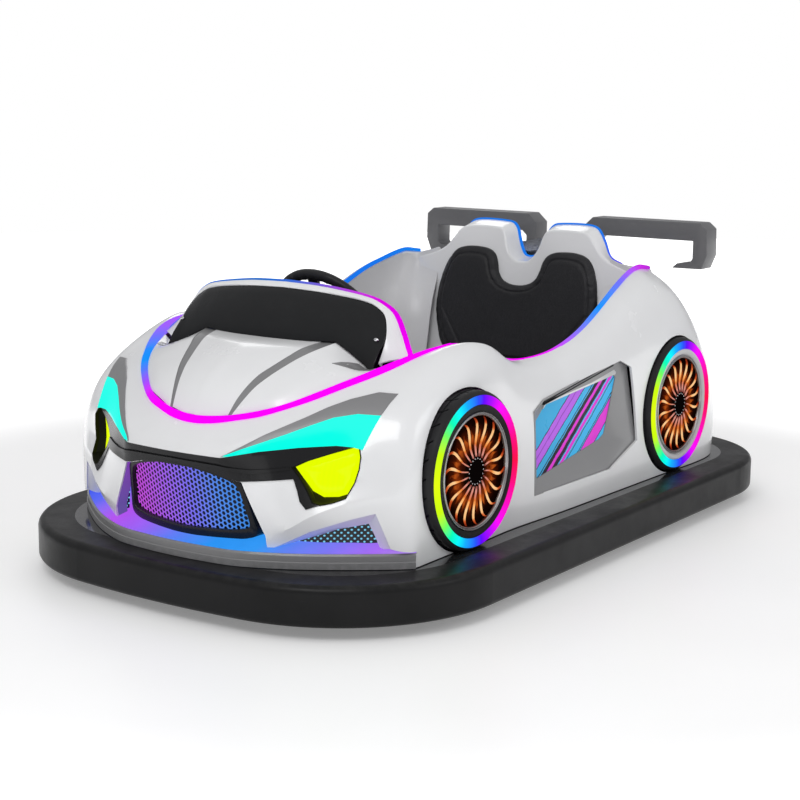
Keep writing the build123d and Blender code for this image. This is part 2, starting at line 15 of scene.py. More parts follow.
import bmesh
import bpy
from mathutils import Matrix, Vector
from mathutils.bvhtree import BVHTree

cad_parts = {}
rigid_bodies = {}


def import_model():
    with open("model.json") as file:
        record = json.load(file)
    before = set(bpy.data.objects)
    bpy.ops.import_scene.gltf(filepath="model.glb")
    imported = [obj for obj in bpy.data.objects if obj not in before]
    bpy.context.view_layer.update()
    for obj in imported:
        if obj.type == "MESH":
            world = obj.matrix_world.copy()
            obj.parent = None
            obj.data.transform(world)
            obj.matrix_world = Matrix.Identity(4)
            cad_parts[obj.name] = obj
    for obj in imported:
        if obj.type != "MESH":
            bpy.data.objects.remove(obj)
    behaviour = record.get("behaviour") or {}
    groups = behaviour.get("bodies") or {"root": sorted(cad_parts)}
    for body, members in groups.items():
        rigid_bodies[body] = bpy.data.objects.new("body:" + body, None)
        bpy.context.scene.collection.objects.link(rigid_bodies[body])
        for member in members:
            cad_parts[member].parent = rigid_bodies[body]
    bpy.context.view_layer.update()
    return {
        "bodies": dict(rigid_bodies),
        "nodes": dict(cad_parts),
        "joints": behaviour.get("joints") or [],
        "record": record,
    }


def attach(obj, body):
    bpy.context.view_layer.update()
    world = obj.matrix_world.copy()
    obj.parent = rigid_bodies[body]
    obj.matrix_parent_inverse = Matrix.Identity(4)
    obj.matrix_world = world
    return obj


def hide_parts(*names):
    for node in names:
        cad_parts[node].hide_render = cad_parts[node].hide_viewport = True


LOG = logging.getLogger("bumper_car")
Point = tuple[float, float, float]
Flat = tuple[float, float]
Line = tuple[Point, ...]
Outline = tuple[Flat, ...]
Colour = tuple[float, float, float]
Stops = tuple[tuple[float, Colour], ...]
Obj = bpy.types.Object
Node = bpy.types.Node
Socket = bpy.types.NodeSocket
Mesh = bmesh.types.BMesh
FULL_TURN = 2 * math.pi


class Side(Enum):
    """The two sides of the car, as the sign of X."""

    LEFT = 1
    RIGHT = -1

    @property
    def word(self) -> str:
        """The side's name as the nodes spell it."""
        return self.name.lower()

    def put(self, points: Sequence[Point]) -> list[Point]:
        """Moves points drawn for the left side over to this side."""
        return [(self.value * x, y, z) for x, y, z in points]

    def flat(self, points: Sequence[Flat]) -> list[Flat]:
        """Moves flat points drawn for the left side over to this side."""
        return [(self.value * x, z) for x, z in points]


class View(Enum):
    """The plane that an outline is drawn in, named by where one looks from."""

    FRONT = "y"
    TOP = "z"
    SIDE = "x"

    def lift(self, a: float, b: float, depth: float) -> Point:
        """Places a flat point at a depth along the view's axis."""
        return {"y": (a, depth, b), "z": (a, b, depth), "x": (depth, a, b)}[self.value]


# ---- Mesh helpers ---------------------------------------------------------------------------


def place(bm: Mesh, name: str) -> Obj:
    """Turns a bmesh into a linked object at the origin, and frees it.

    Args:
        bm: The mesh, which is used up.
        name: The piece's name.

    Returns:
        The piece.
    """
    mesh = bpy.data.meshes.new(name)
    bm.to_mesh(mesh)
    bm.free()
    obj = bpy.data.objects.new(name, mesh)
    bpy.context.scene.collection.objects.link(obj)
    return obj


@contextmanager
def opened(obj: Obj) -> Iterator[Mesh]:
    """Opens a piece's mesh for work, and writes it back afterwards.

    Args:
        obj: The piece.

    Yields:
        The mesh, to work on.
    """
    bm = bmesh.new()
    bm.from_mesh(obj.data)
    yield bm
    bm.to_mesh(obj.data)
    bm.free()


def tree_of(obj: Obj) -> BVHTree:
    """Makes a search tree of a piece's faces.

    Args:
        obj: The piece.

    Returns:
        The search tree.
    """
    bm = bmesh.new()
    bm.from_mesh(obj.data)
    tree = BVHTree.FromBMesh(bm)
    bm.free()
    return tree


def settle(obj: Obj) -> Obj:
    """Applies every modifier of a piece to its mesh, and hands the piece back.

    Args:
        obj: The piece.

    Returns:
        The same piece.
    """
    mesh = bpy.data.meshes.new_from_object(obj.evaluated_get(bpy.context.evaluated_depsgraph_get()))
    old = obj.data
    obj.modifiers.clear()
    obj.data = mesh
    mesh.name = obj.name
    bpy.data.meshes.remove(old)
    return obj


def twin(obj: Obj, name: str) -> Obj:
    """Copies a piece with a mesh of its own."""
    other = bpy.data.objects.new(name, obj.data.copy())
    bpy.context.scene.collection.objects.link(other)
    return other


def drop(obj: Obj) -> None:
    """Removes a helper object and its mesh."""
    mesh = obj.data
    bpy.data.objects.remove(obj)
    bpy.data.meshes.remove(mesh)


def smooth(obj: Obj, angle: float = 32.0) -> Obj:
    """Shades a piece smooth, with sharp edges past an angle in degrees."""
    obj.data.shade_smooth()
    obj.data.set_sharp_from_angle(angle=math.radians(angle))
    return obj


def fit(piece: Obj, finish: "Finish", slot: str, *nodes: str, angle: float = 0.0, body: str = "car") -> Obj:
    """Gives a piece its shading, its finish and its place in the part.

    Args:
        piece: The piece.
        finish: Its finish.
        slot: The record's material slot.
        nodes: The nodes that it replaces.
        angle: Edges sharper than this many degrees stay sharp; 0 leaves the shading as it is.
        body: The body that it rides on.

    Returns:
        The same piece.
    """
    if angle:
        smooth(piece, angle)
    finish.dress(piece)
    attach(piece, body)
    if nodes:
        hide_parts(*nodes)
    return piece


def wall(obj: Obj, thickness: float, offset: float = -1.0) -> Obj:
    """Gives a sheet a wall.

    Args:
        obj: The sheet.
        thickness: The wall's thickness.
        offset: -1 puts the wall behind the sheet, 1 in front of it.

    Returns:
        The same piece, now closed.
    """
    solid = obj.modifiers.new("wall", "SOLIDIFY")
    solid.thickness, solid.offset, solid.use_even_offset = thickness, offset, False
    return settle(obj)


def rounded(obj: Obj, width: float, angle: float = 35.0) -> Obj:
    """Rounds a piece's edges sharper than an angle in degrees, and shades it smooth.

    Args:
        obj: The piece.
        width: The width of the rounding.
        angle: Edges flatter than this stay as they are.

    Returns:
        The same piece.
    """
    bevel = obj.modifiers.new("rounding", "BEVEL")
    bevel.width, bevel.segments, bevel.limit_method = width, 2, "ANGLE"
    bevel.angle_limit = math.radians(angle)
    bevel.use_clamp_overlap = True
    return smooth(settle(obj), 40)


def chain(bm: Mesh, points: Sequence[Point], closed: bool = False) -> list[bmesh.types.BMEdge]:
    """Adds a wire of edges through points, and hands its edges back."""
    verts = [bm.verts.new(p) for p in points]
    pairs = list(zip(verts, verts[1:])) + ([(verts[-1], verts[0])] if closed else [])
    return [bm.edges.new(pair) for pair in pairs]


def outward(bm: Mesh, merge: float = 0.0) -> Mesh:
    """Merges a mesh's doubles and points its faces outwards.

    Args:
        bm: The mesh.
        merge: Points closer than this become one; 0 leaves them.

    Returns:
        The same mesh.
    """
    if merge:
        bmesh.ops.remove_doubles(bm, verts=bm.verts, dist=merge)
    bmesh.ops.recalc_face_normals(bm, faces=bm.faces)
    return bm


def sealed(bm: Mesh) -> Mesh:
    """Fills a mesh's open ends and points its faces outwards."""
    bmesh.ops.holes_fill(bm, edges=[e for e in bm.edges if e.is_boundary])
    return outward(bm)


def gathered(parts: Iterable[Mesh]) -> Mesh:
    """Puts several meshes into one.

    Args:
        parts: The meshes, which are used up.

    Returns:
        One mesh.
    """
    bm = bmesh.new()
    for part in parts:
        spare = bpy.data.meshes.new("spare")
        part.to_mesh(spare)
        part.free()
        bm.from_mesh(spare)
        bpy.data.meshes.remove(spare)
    return bm


def lofted(ribs: Sequence[Sequence[Point]], closed: bool = False, capped: bool = False) -> Mesh:
    """Bridges a row of ribs, each with the same number of points, into a sheet.

    Each vertex keeps how far it is along the row of ribs and across its rib, from 0 to 1.

    Args:
        ribs: The ribs in order.
        closed: Whether each rib is a closed loop.
        capped: Whether the first and last closed ribs are filled.

    Returns:
        The sheet as a bmesh.
    """
    bm = bmesh.new()
    along, across = bm.verts.layers.float.new("run"), bm.verts.layers.float.new("across")
    loops = []
    for index, rib in enumerate(ribs):
        edges = chain(bm, rib, closed)
        verts = [edges[0].verts[0]] + [e.verts[1] for e in edges[:len(rib) - 1]]
        for step, vert in enumerate(verts):
            vert[along] = index / max(len(ribs) - 1, 1)
            vert[across] = step / (len(rib) - 1)
        loops.append(edges)
    for one, two in zip(loops, loops[1:]):
        bmesh.ops.bridge_loops(bm, edges=one + two)
    if capped:
        for edges in (loops[0], loops[-1]):
            bmesh.ops.contextual_create(bm, geom=edges)
    bmesh.ops.remove_doubles(bm, verts=bm.verts, dist=1e-6)
    return outward(bm) if closed else bm


def facing(bm: Mesh, towards: Point) -> Mesh:
    """Makes an open sheet's faces agree and mostly look along a direction.

    Args:
        bm: The sheet.
        towards: The direction to look along.

    Returns:
        The same sheet.
    """
    outward(bm)
    bm.normal_update()
    if sum(f.normal.dot(Vector(towards)) * f.calc_area() for f in bm.faces) < 0:
        bmesh.ops.reverse_faces(bm, faces=bm.faces)
    return bm


def sheet(ribs: Sequence[Sequence[Point]], towards: Point, name: str, thick: float,
        closed: bool = False) -> Obj:
    """Bridges ribs into a sheet that faces a way, and gives it a wall behind.

    Args:
        ribs: The ribs in order.
        towards: The direction that its front looks in.
        name: The piece's name.
        thick: The wall's thickness.
        closed: Whether each rib is a closed loop.

    Returns:
        The piece.
    """
    return wall(place(facing(lofted(ribs, closed), towards), name), thick)


def flowing(points: Sequence[Sequence[float]], cuts: int, corners: Iterable[int] = ()) -> list:
    """Runs a smooth curve through points, broken at the corners.

    Args:
        points: The points in order.
        cuts: How many steps it takes from one point to the next.
        corners: The indices of the points where the curve may turn sharply.

    Returns:
        The points of the curve, with the given points among them.
    """
    spots = [Vector(p) for p in points]
    curve = [spots[0]]
    for i in range(len(spots) - 1):
        a, b = spots[i], spots[i + 1]
        before = spots[i - 1] if i > 0 and i not in corners else a - (b - a)
        after = spots[i + 2] if i + 2 < len(spots) and i + 1 not in corners else b + (b - a)
        gaps = [max((q - p).length, 1e-5) ** .5 for p, q in ((before, a), (a, b), (b, after))]
        enter = ((a - before) / gaps[0] - (b - before) / (gaps[0] + gaps[1]) + (b - a) / gaps[1]) * gaps[1]
        leave = ((b - a) / gaps[1] - (after - a) / (gaps[1] + gaps[2]) + (after - b) / gaps[2]) * gaps[1]
        for step in range(1, cuts + 1):
            t = step / cuts
            curve.append(a * (2 * t**3 - 3 * t**2 + 1) + enter * (t**3 - 2 * t**2 + t) + b
                * (3 * t**2 - 2 * t**3) + leave * (t**3 - t**2))
    return [tuple(p) for p in curve]


def evenly(points: Sequence[Sequence[float]], count: int) -> list:
    """Spaces points evenly along a line of points.

    Args:
        points: The line's points.
        count: How many points to space along it.

    Returns:
        The spaced points.
    """
    spots = [Vector(p) for p in points]
    lengths = [0.0]
    for a, b in zip(spots, spots[1:]):
        lengths.append(lengths[-1] + (b - a).length)
    result, i = [], 0
    for k in range(count):
        want = lengths[-1] * k / (count - 1)
        while i < len(spots) - 2 and lengths[i + 1] < want:
            i += 1
        share = (want - lengths[i]) / max(lengths[i + 1] - lengths[i], 1e-9)
        result.append(tuple(spots[i].lerp(spots[i + 1], min(max(share, 0), 1))))
    return result


def blend(one: Sequence[Point], two: Sequence[Point], share: float) -> list:
    """Draws the line that lies a share of the way from one line to another."""
    return [tuple(Vector(a).lerp(Vector(b), share)) for a, b in zip(one, two)]


def across_car(half: Sequence[Point]) -> list[Point]:
    """Runs a left half line, which starts on the middle plane, from the car's right to its left."""
    return Side.RIGHT.put(list(reversed(half)))[:-1] + list(half)


def both_halves(ribs: Sequence[Sequence[Point]]) -> list[list[Point]]:
    """Mirrors a row of ribs, the first of which lies on the middle plane, over to the right side."""
    return [Side.RIGHT.put(rib) for rib in reversed(ribs[1:])] + list(ribs)


def slab(points: Sequence[Point], push: Point) -> Mesh:
    """Makes a flat face and pushes it into a closed solid.

    Args:
        points: The face's corners.
        push: How far and which way it is pushed.

    Returns:
        The solid.
    """
    bm = bmesh.new()
    bm.faces.new([bm.verts.new(p) for p in points])
    grown = bmesh.ops.extrude_face_region(bm, geom=bm.faces[:])
    bmesh.ops.translate(bm, verts=[v for v in grown["geom"] if isinstance(v, bmesh.types.BMVert)], vec=push)
    return outward(bm)


def prism(outline: Sequence[Flat], view: View, span: Flat, name: str = "cutter", rounding: float = 0.0) -> Obj:
    """Pushes a flat outline into a closed solid.

    Args:
        outline: The outline's corners: (x, z) in front view, (x, y) from the top, (y, z) from the side.
        view: The plane that the outline is drawn in.
        span: Where the solid starts and ends along the third axis.
        name: The solid's name.
        rounding: The radius of its corners.

    Returns:
        The solid as an object.
    """
    near, far = span
    bm = bmesh.new()
    verts = [bm.verts.new(view.lift(a, b, near)) for a, b in outline]
    bm.faces.new(verts)
    if rounding:
        bmesh.ops.bevel(bm, geom=verts, offset=rounding, affect="VERTICES", segments=4, profile=.5, material=-1)
    grown = bmesh.ops.extrude_face_region(bm, geom=bm.faces[:])
    moved = [v for v in grown["geom"] if isinstance(v, bmesh.types.BMVert)]
    bmesh.ops.translate(bm, verts=moved, vec=view.lift(0, 0, far - near))
    if len(bm.faces) < len(outline) + 2:
        bmesh.ops.holes_fill(bm, edges=[e for e in bm.edges if e.is_boundary])
    return place(outward(bm), name)


def barrel(centre: Point, radius: float, span: Flat) -> Obj:
    """Makes a closed round cutter along X.

    Args:
        centre: A point on its axis.
        radius: Its radius.
        span: Where it starts and ends along X.

    Returns:
        The cutter.
    """
    bm = bmesh.new()
    bmesh.ops.create_cone(bm, cap_ends=True, segments=96, radius1=radius, radius2=radius,
        depth=abs(span[1] - span[0]))
    bmesh.ops.rotate(bm, verts=bm.verts, matrix=Matrix.Rotation(math.pi / 2, 3, "Y"))
    bmesh.ops.translate(bm, verts=bm.verts, vec=(sum(span) / 2, *centre[1:]))
    return place(bm, "cutter")


def carve(obj: Obj, tool: Obj, operation: str = "DIFFERENCE") -> Obj:
    """Cuts a closed piece with a closed tool, which is used up.

    Args:
        obj: The piece.
        tool: The tool.
        operation: DIFFERENCE, INTERSECT or UNION.

    Returns:
        The same piece.
    """
    cut = obj.modifiers.new("cut", "BOOLEAN")
    cut.operation, cut.object, cut.solver = operation, tool, "MANIFOLD"
    settle(obj)
    drop(tool)
    return obj


def sliced(bm: Mesh, places: Iterable[float]) -> None:
    """Cuts a mesh's faces at places along X, so that it can bend there."""
    for x in places:
        bmesh.ops.bisect_plane(bm, geom=bm.verts[:] + bm.edges[:] + bm.faces[:], plane_co=(x, 0, 0),
            plane_no=(1, 0, 0))


def mirrored(outline: Sequence[Flat]) -> list[Flat]:
    """Closes a half outline, which starts and ends on the middle line, with its mirror image."""
    return list(outline) + [(-a, b) for a, b in reversed(outline) if a > 1e-6]


def spun(points: Sequence[Point], centre: Point, axis: Point, steps: int, closed: bool = False) -> Mesh:
    """Spins a wire of points into a full turn.

    Args:
        points: The points of the profile.
        centre: A point on the axis.
        axis: The axis.
        steps: The number of steps in the turn.
        closed: Whether the profile is a closed loop.

    Returns:
        The turned mesh, merged.
    """
    bm = bmesh.new()
    bmesh.ops.spin(bm, geom=chain(bm, points, closed), cent=centre, axis=axis, angle=FULL_TURN, steps=steps,
        use_merge=True)
    bmesh.ops.remove_doubles(bm, verts=bm.verts, dist=1e-6)
    return bm


def turned(profile: Sequence[Flat], centre: Point, name: str, steps: int = 96, flip: int = 1) -> Obj:
    """Spins (radius, x) points about the X axis through a centre; flip is -1 for the right side."""
    points = [(flip * x, centre[1], centre[2] + r) for r, x in profile]
    return place(outward(spun(points, (0, *centre[1:]), (1, 0, 0), steps)), name)


# ---- Shader writing -------------------------------------------------------------------------


def scaled(colour: Colour, by: float) -> Colour:
    """Makes a colour darker or lighter, up to 1."""
    return tuple(min(c * by, 1) for c in colour)


class Graph:
    """Writes shader nodes into a material's tree or a group's tree."""

    def __init__(self, tree: bpy.types.NodeTree, shader: Node | None = None) -> None:
        """Keeps the tree to write into, and the shader that it ends in."""
        self.tree, self.shader = tree, shader

    def node(self, kind: str, feeds: dict | None = None, **settings: object) -> Node:
        """Adds a shader node.

        Args:
            kind: The node's type.
            feeds: What goes into its inputs: a socket to link, or a plain value.
            settings: The node's own settings.

        Returns:
            The new node.
        """
        made = self.tree.nodes.new("ShaderNode" + kind)
        for word, value in settings.items():
            setattr(made, word, value)
        self.feed(made, feeds or {})
        return made

    def feed(self, node: Node, feeds: dict) -> None:
        """Links sockets into a node's inputs, or sets the inputs to plain values.

        Args:
            node: The node.
            feeds: What goes into each input, by its name or its place.
        """
        for word, value in feeds.items():
            socket = node.inputs[word]
            if isinstance(value, Socket):
                self.tree.links.new(value, socket)
            elif isinstance(value, tuple) and len(value) == 3 and socket.type == "RGBA":
                socket.default_value = (*value, 1)
            else:
                socket.default_value = value

    def look(self, feeds: dict) -> None:
        """Feeds the shader that the tree ends in."""
        self.feed(self.shader, feeds)

    def calc(self, operation: str, a: object, b: object = 0.0, clamp: bool = False) -> Socket:
        """Does one sum with up to two numbers."""
        return self.node("Math", {0: a, 1: b}, operation=operation, use_clamp=clamp).outputs[0]

    def times(self, a: object, b: object, clamp: bool = False) -> Socket:
        """Multiplies two numbers."""
        return self.calc("MULTIPLY", a, b, clamp)

    def plus(self, a: object, b: object, clamp: bool = False) -> Socket:
        """Adds two numbers."""
        return self.calc("ADD", a, b, clamp)

    def minus(self, a: object, b: object) -> Socket:
        """Takes one number from another."""
        return self.calc("SUBTRACT", a, b)

    def length(self, a: object, b: object) -> Socket:
        """The length of a flat vector."""
        return self.calc("SQRT", self.plus(self.times(a, a), self.times(b, b)))

    def mix(self, share: object, a: object, b: object) -> Socket:
        """Mixes colour a with colour b by a share."""
        return self.node("Mix", {0: share, 6: a, 7: b}, data_type="RGBA").outputs[2]

    def fit(self, value: object, lo: object, hi: object, to_lo: float = 0.0, to_hi: float = 1.0,
            soft: bool = False) -> Socket:
        """Maps a value from one range onto another, clamped; soft eases at both ends."""
        feeds = {"Value": value, "From Min": lo, "From Max": hi, "To Min": to_lo, "To Max": to_hi}
        return self.node("MapRange", feeds, clamp=True, interpolation_type="SMOOTHSTEP" if soft
            else "LINEAR").outputs[0]

    def ramp(self, share: object, stops: Stops) -> Socket:
        """Runs through (place, colour) stops by a share from 0 to 1.

        Args:
            share: How far along the stops.
            stops: The places and their colours, in order.

        Returns:
            The colour.
        """
        made = self.node("ValToRGB", {"Fac": share})
        elements = made.color_ramp.elements
        for place_at, colour in stops[1:-1]:
            elements.new(place_at).color = (*colour, 1)
        for index in (0, -1):
            elements[index % len(stops)].position = stops[index][0]
            elements[index % len(stops)].color = (*stops[index][1], 1)
        return made.outputs[0]

    def spot(self) -> Socket:
        """The place on the object, in metres."""
        return self.node("TexCoord").outputs["Object"]

    def axes(self, vector: Socket | None = None) -> bpy.types.NodeOutputs:
        """A vector, or else the place on the object, as three numbers."""
        return self.node("SeparateXYZ", {0: vector or self.spot()}).outputs

    def stretched(self, scale: Point, turn: Point = (0, 0, 0)) -> Socket:
        """The place on the object, turned and stretched."""
        return self.node("Mapping", {"Vector": self.spot(), "Scale": scale, "Rotation": turn}).outputs[0]

    def noise(self, scale: object, detail: float = 2.0, rough: float = .5,
            vector: Socket | None = None) -> Socket:
        """Soft noise from 0 to 1."""
        feeds = {"Vector": vector or self.spot(), "Scale": scale, "Detail": detail, "Roughness": rough}
        return self.node("TexNoise", feeds).outputs[0]

    def bump(self, height: object, strength: float, distance: float) -> None:
        """Gives the shader relief from a height."""
        made = self.node("Bump", {"Height": height, "Strength": strength, "Distance": distance})
        self.look({"Normal": made.outputs[0]})


class Effect:
    """A shader node group that several finishes share; it is built once."""

    name = "effect"
    takes: dict[str, float] = {}
    gives: tuple[str, ...] = ("Mask",)

    def write(self, g: Graph, given: bpy.types.NodeInputs) -> tuple[Socket, ...]:
        """Writes the group's nodes.

        Args:
            g: The graph of the group's tree.
            given: The group's inputs.

        Returns:
            The socket behind each output, in order.
        """
        raise NotImplementedError

    def tree(self) -> bpy.types.NodeTree:
        """Finds the group's tree, or builds it the first time."""
        found = bpy.data.node_groups.get(self.name)
        if found:
            return found
        tree = bpy.data.node_groups.new(self.name, "ShaderNodeTree")
        for word, value in self.takes.items():
            tree.interface.new_socket(word, in_out="INPUT", socket_type="NodeSocketFloat").default_value = value
        for word in self.gives:
            tree.interface.new_socket(word, in_out="OUTPUT", socket_type="NodeSocketFloat")
        source, sink = tree.nodes.new("NodeGroupInput"), tree.nodes.new("NodeGroupOutput")
        for word, socket in zip(self.gives, self.write(Graph(tree), source.outputs)):
            tree.links.new(socket, sink.inputs[word])
        return tree

    def put(self, g: Graph, *values: float) -> list[Socket]:
        """Places the group in a material.

        Args:
            g: The material's graph.
            values: The values of the group's inputs, in order.

        Returns:
            The group's outputs.
        """
        made = g.node("Group")
        made.node_tree = self.tree()
        g.feed(made, dict(zip(self.takes, values)))
        return list(made.outputs)


class Life(Effect):
    """The unevenness of a moulded or sprayed surface: its tone, its gloss and its fine ripple."""

    name = "surface_life"
    takes = {"Size": 1.0, "Ripple": 90.0}
    gives = ("Tone", "Gloss", "Height")

    def write(self, g: Graph, given: bpy.types.NodeInputs) -> tuple[Socket, ...]:
        """Writes the group's nodes."""
        broad = g.noise(g.times(given["Size"], 2.6), 3, .55)
        patch = g.noise(g.times(given["Size"], 9.0), 4, .6)
        fine = g.noise(given["Ripple"], 2, .5)
        return g.fit(broad, .3, .7, soft=True), g.fit(patch, .3, .75), g.plus(fine, g.times(patch, .6))


class Dust(Effect):
    """A mask of the dust that lies on what faces up, thicker low down."""

    name = "settled_dust"
    takes = {"Amount": .3}

    def write(self, g: Graph, given: bpy.types.NodeInputs) -> tuple[Socket, ...]:
        """Writes the group's nodes."""
        lying = g.fit(g.axes(g.node("NewGeometry").outputs["Normal"])["Z"], .25, 1)
        low = g.fit(g.axes()["Z"], .5, .08, .25, 1)
        broken = g.fit(g.noise(26, 5, .7), .42, .72)
        return (g.times(g.times(g.times(lying, low), broken), given["Amount"], clamp=True),)


class Scuff(Effect):
    """A mask of fine rubbed lines and worn edges."""

    name = "scuffs"
    takes = {"Amount": .3, "Edge": .3}

    def write(self, g: Graph, given: bpy.types.NodeInputs) -> tuple[Socket, ...]:
        """Writes the group's nodes."""
        lines = g.fit(g.noise(2.2, 4, .62, g.stretched((8, 8, 190), (0, .14, 0))), .64, .72)
        rubbed = g.times(g.times(lines, g.fit(g.noise(5.5, 3, .6), .5, .66)), given["Amount"])
        edge = g.fit(g.node("NewGeometry").outputs["Pointiness"], .53, .62)
        chipped = g.times(edge, g.fit(g.noise(55, 4, .65), .45, .65))
        return (g.calc("MAXIMUM", rubbed, g.times(chipped, given["Edge"]), clamp=True),)


class Dial(Effect):
    """How far a point is from an axis along X, and how far round from the front."""

    name = "round_the_axle"
    takes = {"Along": 0.0, "Height": 0.0}
    gives = ("Radius", "Round")

    def write(self, g: Graph, given: bpy.types.NodeInputs) -> tuple[Socket, ...]:
        """Writes the group's nodes."""
        y, z = g.minus(g.axes()["Y"], given["Along"]), g.minus(g.axes()["Z"], given["Height"])
        turn = g.calc("ARCTAN2", g.calc("ABSOLUTE", z), g.times(y, -1.0))
        return g.length(y, z), g.calc("DIVIDE", turn, math.pi)


# ---- Finishes -------------------------------------------------------------------------------


MADE: dict["Finish", bpy.types.Material] = {}


@dataclass(frozen=True)
class Finish:
    """A finish with a name; its material is built once."""

    name: str

    def write(self, g: Graph) -> None:
        """Writes the finish's nodes."""
        raise NotImplementedError

    def material(self) -> bpy.types.Material:
        """Finds the finish's material, or builds it the first time."""
        if self not in MADE:
            made = bpy.data.materials.new(self.name)
            made.use_nodes = True
            self.write(Graph(made.node_tree, made.node_tree.nodes["Principled BSDF"]))
            MADE[self] = made
        return MADE[self]

    def dress(self, piece: Obj) -> None:
        """Gives a whole piece this finish.

        Args:
            piece: The piece.
        """
        materials = piece.data.materials
        if not materials:
            materials.append(None)
        for index in range(len(materials)):
            materials[index] = self.material()


@dataclass(frozen=True)
class Paint(Finish):
    """Gelcoat or paint: even gloss with a faint ripple, a little dust and rubbed edges."""

    colour: Colour = (.8, .8, .8)
    rough: float = .22
    coat: float = .6
    ripple: float = .05
    dust: float = .2
    rubbed: Colour = (.55, .55, .56)
    wear: float = .2
    shine: float = .5

    def write(self, g: Graph) -> None:
        """Writes the finish's nodes."""
        tone, gloss, height = Life().put(g, 1.0, 70.0)
        scuff, = Scuff().put(g, self.wear, self.wear * .6)
        dust, = Dust().put(g, self.dust)
        base = g.mix(scuff, g.mix(tone, scaled(self.colour, .94), self.colour), self.rubbed)
        rough = g.plus(g.fit(gloss, 0, 1, self.rough * .85, self.rough * 1.2),
            g.times(g.calc("MAXIMUM", scuff, dust), .35), clamp=True)
        g.look({"Base Color": g.mix(dust, base, (.33, .32, .3)), "Roughness": rough,
            "Specular IOR Level": self.shine, "Coat Weight": self.coat, "Coat Roughness": .06})
        g.bump(height, self.ripple, .0015)


@dataclass(frozen=True)
class Hide(Finish):
    """Stitched vinyl: pebbled grain, faint wrinkles and a soft sheen where it is worn."""

    colour: Colour = (.013, .013, .015)
    rough: float = .38

    def write(self, g: Graph) -> None:
        """Writes the finish's nodes."""
        tone, gloss, _ = Life().put(g, 2.0, 160.0)
        cells = g.node("TexVoronoi", {"Vector": g.spot(), "Scale": 520.0}, feature="DISTANCE_TO_EDGE")
        pebble = g.fit(cells.outputs["Distance"], 0, .32, soft=True)
        crease = g.fit(g.noise(1.6, 4, .6, g.stretched((30, 30, 9))), .45, .62, soft=True)
        worn = g.times(tone, g.fit(pebble, .3, 1))
        rough = g.fit(g.plus(gloss, g.times(pebble, -.4)), -.4, 1, self.rough * .8, self.rough * 1.35)
        g.look({"Base Color": g.mix(worn, self.colour, scaled(self.colour, 1.9)), "Roughness": rough,
            "Specular IOR Level": .3, "Sheen Weight": .05, "Sheen Roughness": .4})
        g.bump(g.plus(pebble, g.times(crease, 1.6)), .35, .0006)


@dataclass(frozen=True)
class Rubber(Finish):
    """Black moulded rubber, a little grey where it is rubbed."""

    colour: Colour = (.009, .009, .0095)
    rough: float = .42
    wear: float = .25
    dust: float = .3
    grain: float = .2

    def write(self, g: Graph) -> None:
        """Writes the finish's nodes."""
        tone, gloss, height = Life().put(g, 1.6, 420.0)
        scuff, = Scuff().put(g, self.wear, self.wear)
        dust, = Dust().put(g, self.dust)
        base = g.mix(g.times(scuff, .5), g.mix(tone, self.colour, scaled(self.colour, 1.5)), (.045, .045, .047))
        rough = g.plus(g.fit(gloss, 0, 1, self.rough * .8, self.rough * 1.25), g.times(dust, .4), clamp=True)
        g.look({"Base Color": g.mix(dust, base, (.1, .098, .094)), "Roughness": rough,
            "Specular IOR Level": .13})
        g.bump(height, self.grain, .0006)


@dataclass(frozen=True)
class Metal(Finish):
    """Bare or plated metal with brushing along one axis and dull patches."""

    colour: Colour = (.55, .55, .56)
    rough: float = .32
    brushing: Point = (3, 220, 220)

    def write(self, g: Graph) -> None:
        """Writes the finish's nodes."""
        _, _, height = Life().put(g, 3.0, 260.0)
        brush = g.noise(1.0, 3, .6, g.stretched(self.brushing))
        tarnish = g.fit(g.noise(34, 5, .7), .5, .75)
        scuff, = Scuff().put(g, .3, .5)
        base = g.mix(g.times(tarnish, .6), g.mix(brush, scaled(self.colour, .8), self.colour), (.2, .19, .18))
        rough = g.plus(g.fit(brush, .2, .8, self.rough * .75, self.rough * 1.3), g.times(tarnish, .2),
            clamp=True)
        g.look({"Base Color": g.mix(g.times(scuff, .5), base, scaled(self.colour, 1.3)), "Roughness": rough,
            "Metallic": 1.0})
        g.bump(g.plus(brush, g.times(height, .4)), .12, .0008)


@dataclass(frozen=True)
class Glow(Finish):
    """A milky light whose colour runs from one end of its strip to the other."""

    stops: Stops = ((0, (1, 0, 1)), (1, (1, 0, 1)))
    power: float = 1.0
    wall: Colour = (.01, .01, .012)

    def where(self, g: Graph) -> Socket:
        """How far along the colours a point is."""
        return g.node("Attribute", attribute_name="run", attribute_type="GEOMETRY").outputs["Fac"]

    def write(self, g: Graph) -> None:
        """Writes the finish's nodes."""
        _, gloss, height = Life().put(g, 3.0, 300.0)
        light = g.mix(g.fit(gloss, 0, 1, 0, .07), g.ramp(self.where(g), self.stops), (0, 0, 0))
        g.look({"Base Color": g.mix(.04, scaled(self.wall, .15), light), "Emission Color": light,
            "Emission Strength": self.power, "Roughness": g.fit(gloss, 0, 1, .28, .42),
            "Specular IOR Level": 0.0})
        g.bump(height, .05, .0008)


@dataclass(frozen=True)
class AxisGlow(Glow):
    """A glowing surface whose colour runs across the car, between two places."""

    span: Flat = (-.2, .2)

    def where(self, g: Graph) -> Socket:
        """How far along the colours a point is."""
        return g.fit(g.axes()["X"], *self.span)


@dataclass(frozen=True)
class RingGlow(Glow):
    """A round light whose colour runs from its front to its back, over the top and below."""

    centre: Flat = (0, 0)

    def where(self, g: Graph) -> Socket:
        """How far along the colours a point is."""
        return Dial().put(g, *self.centre)[1]


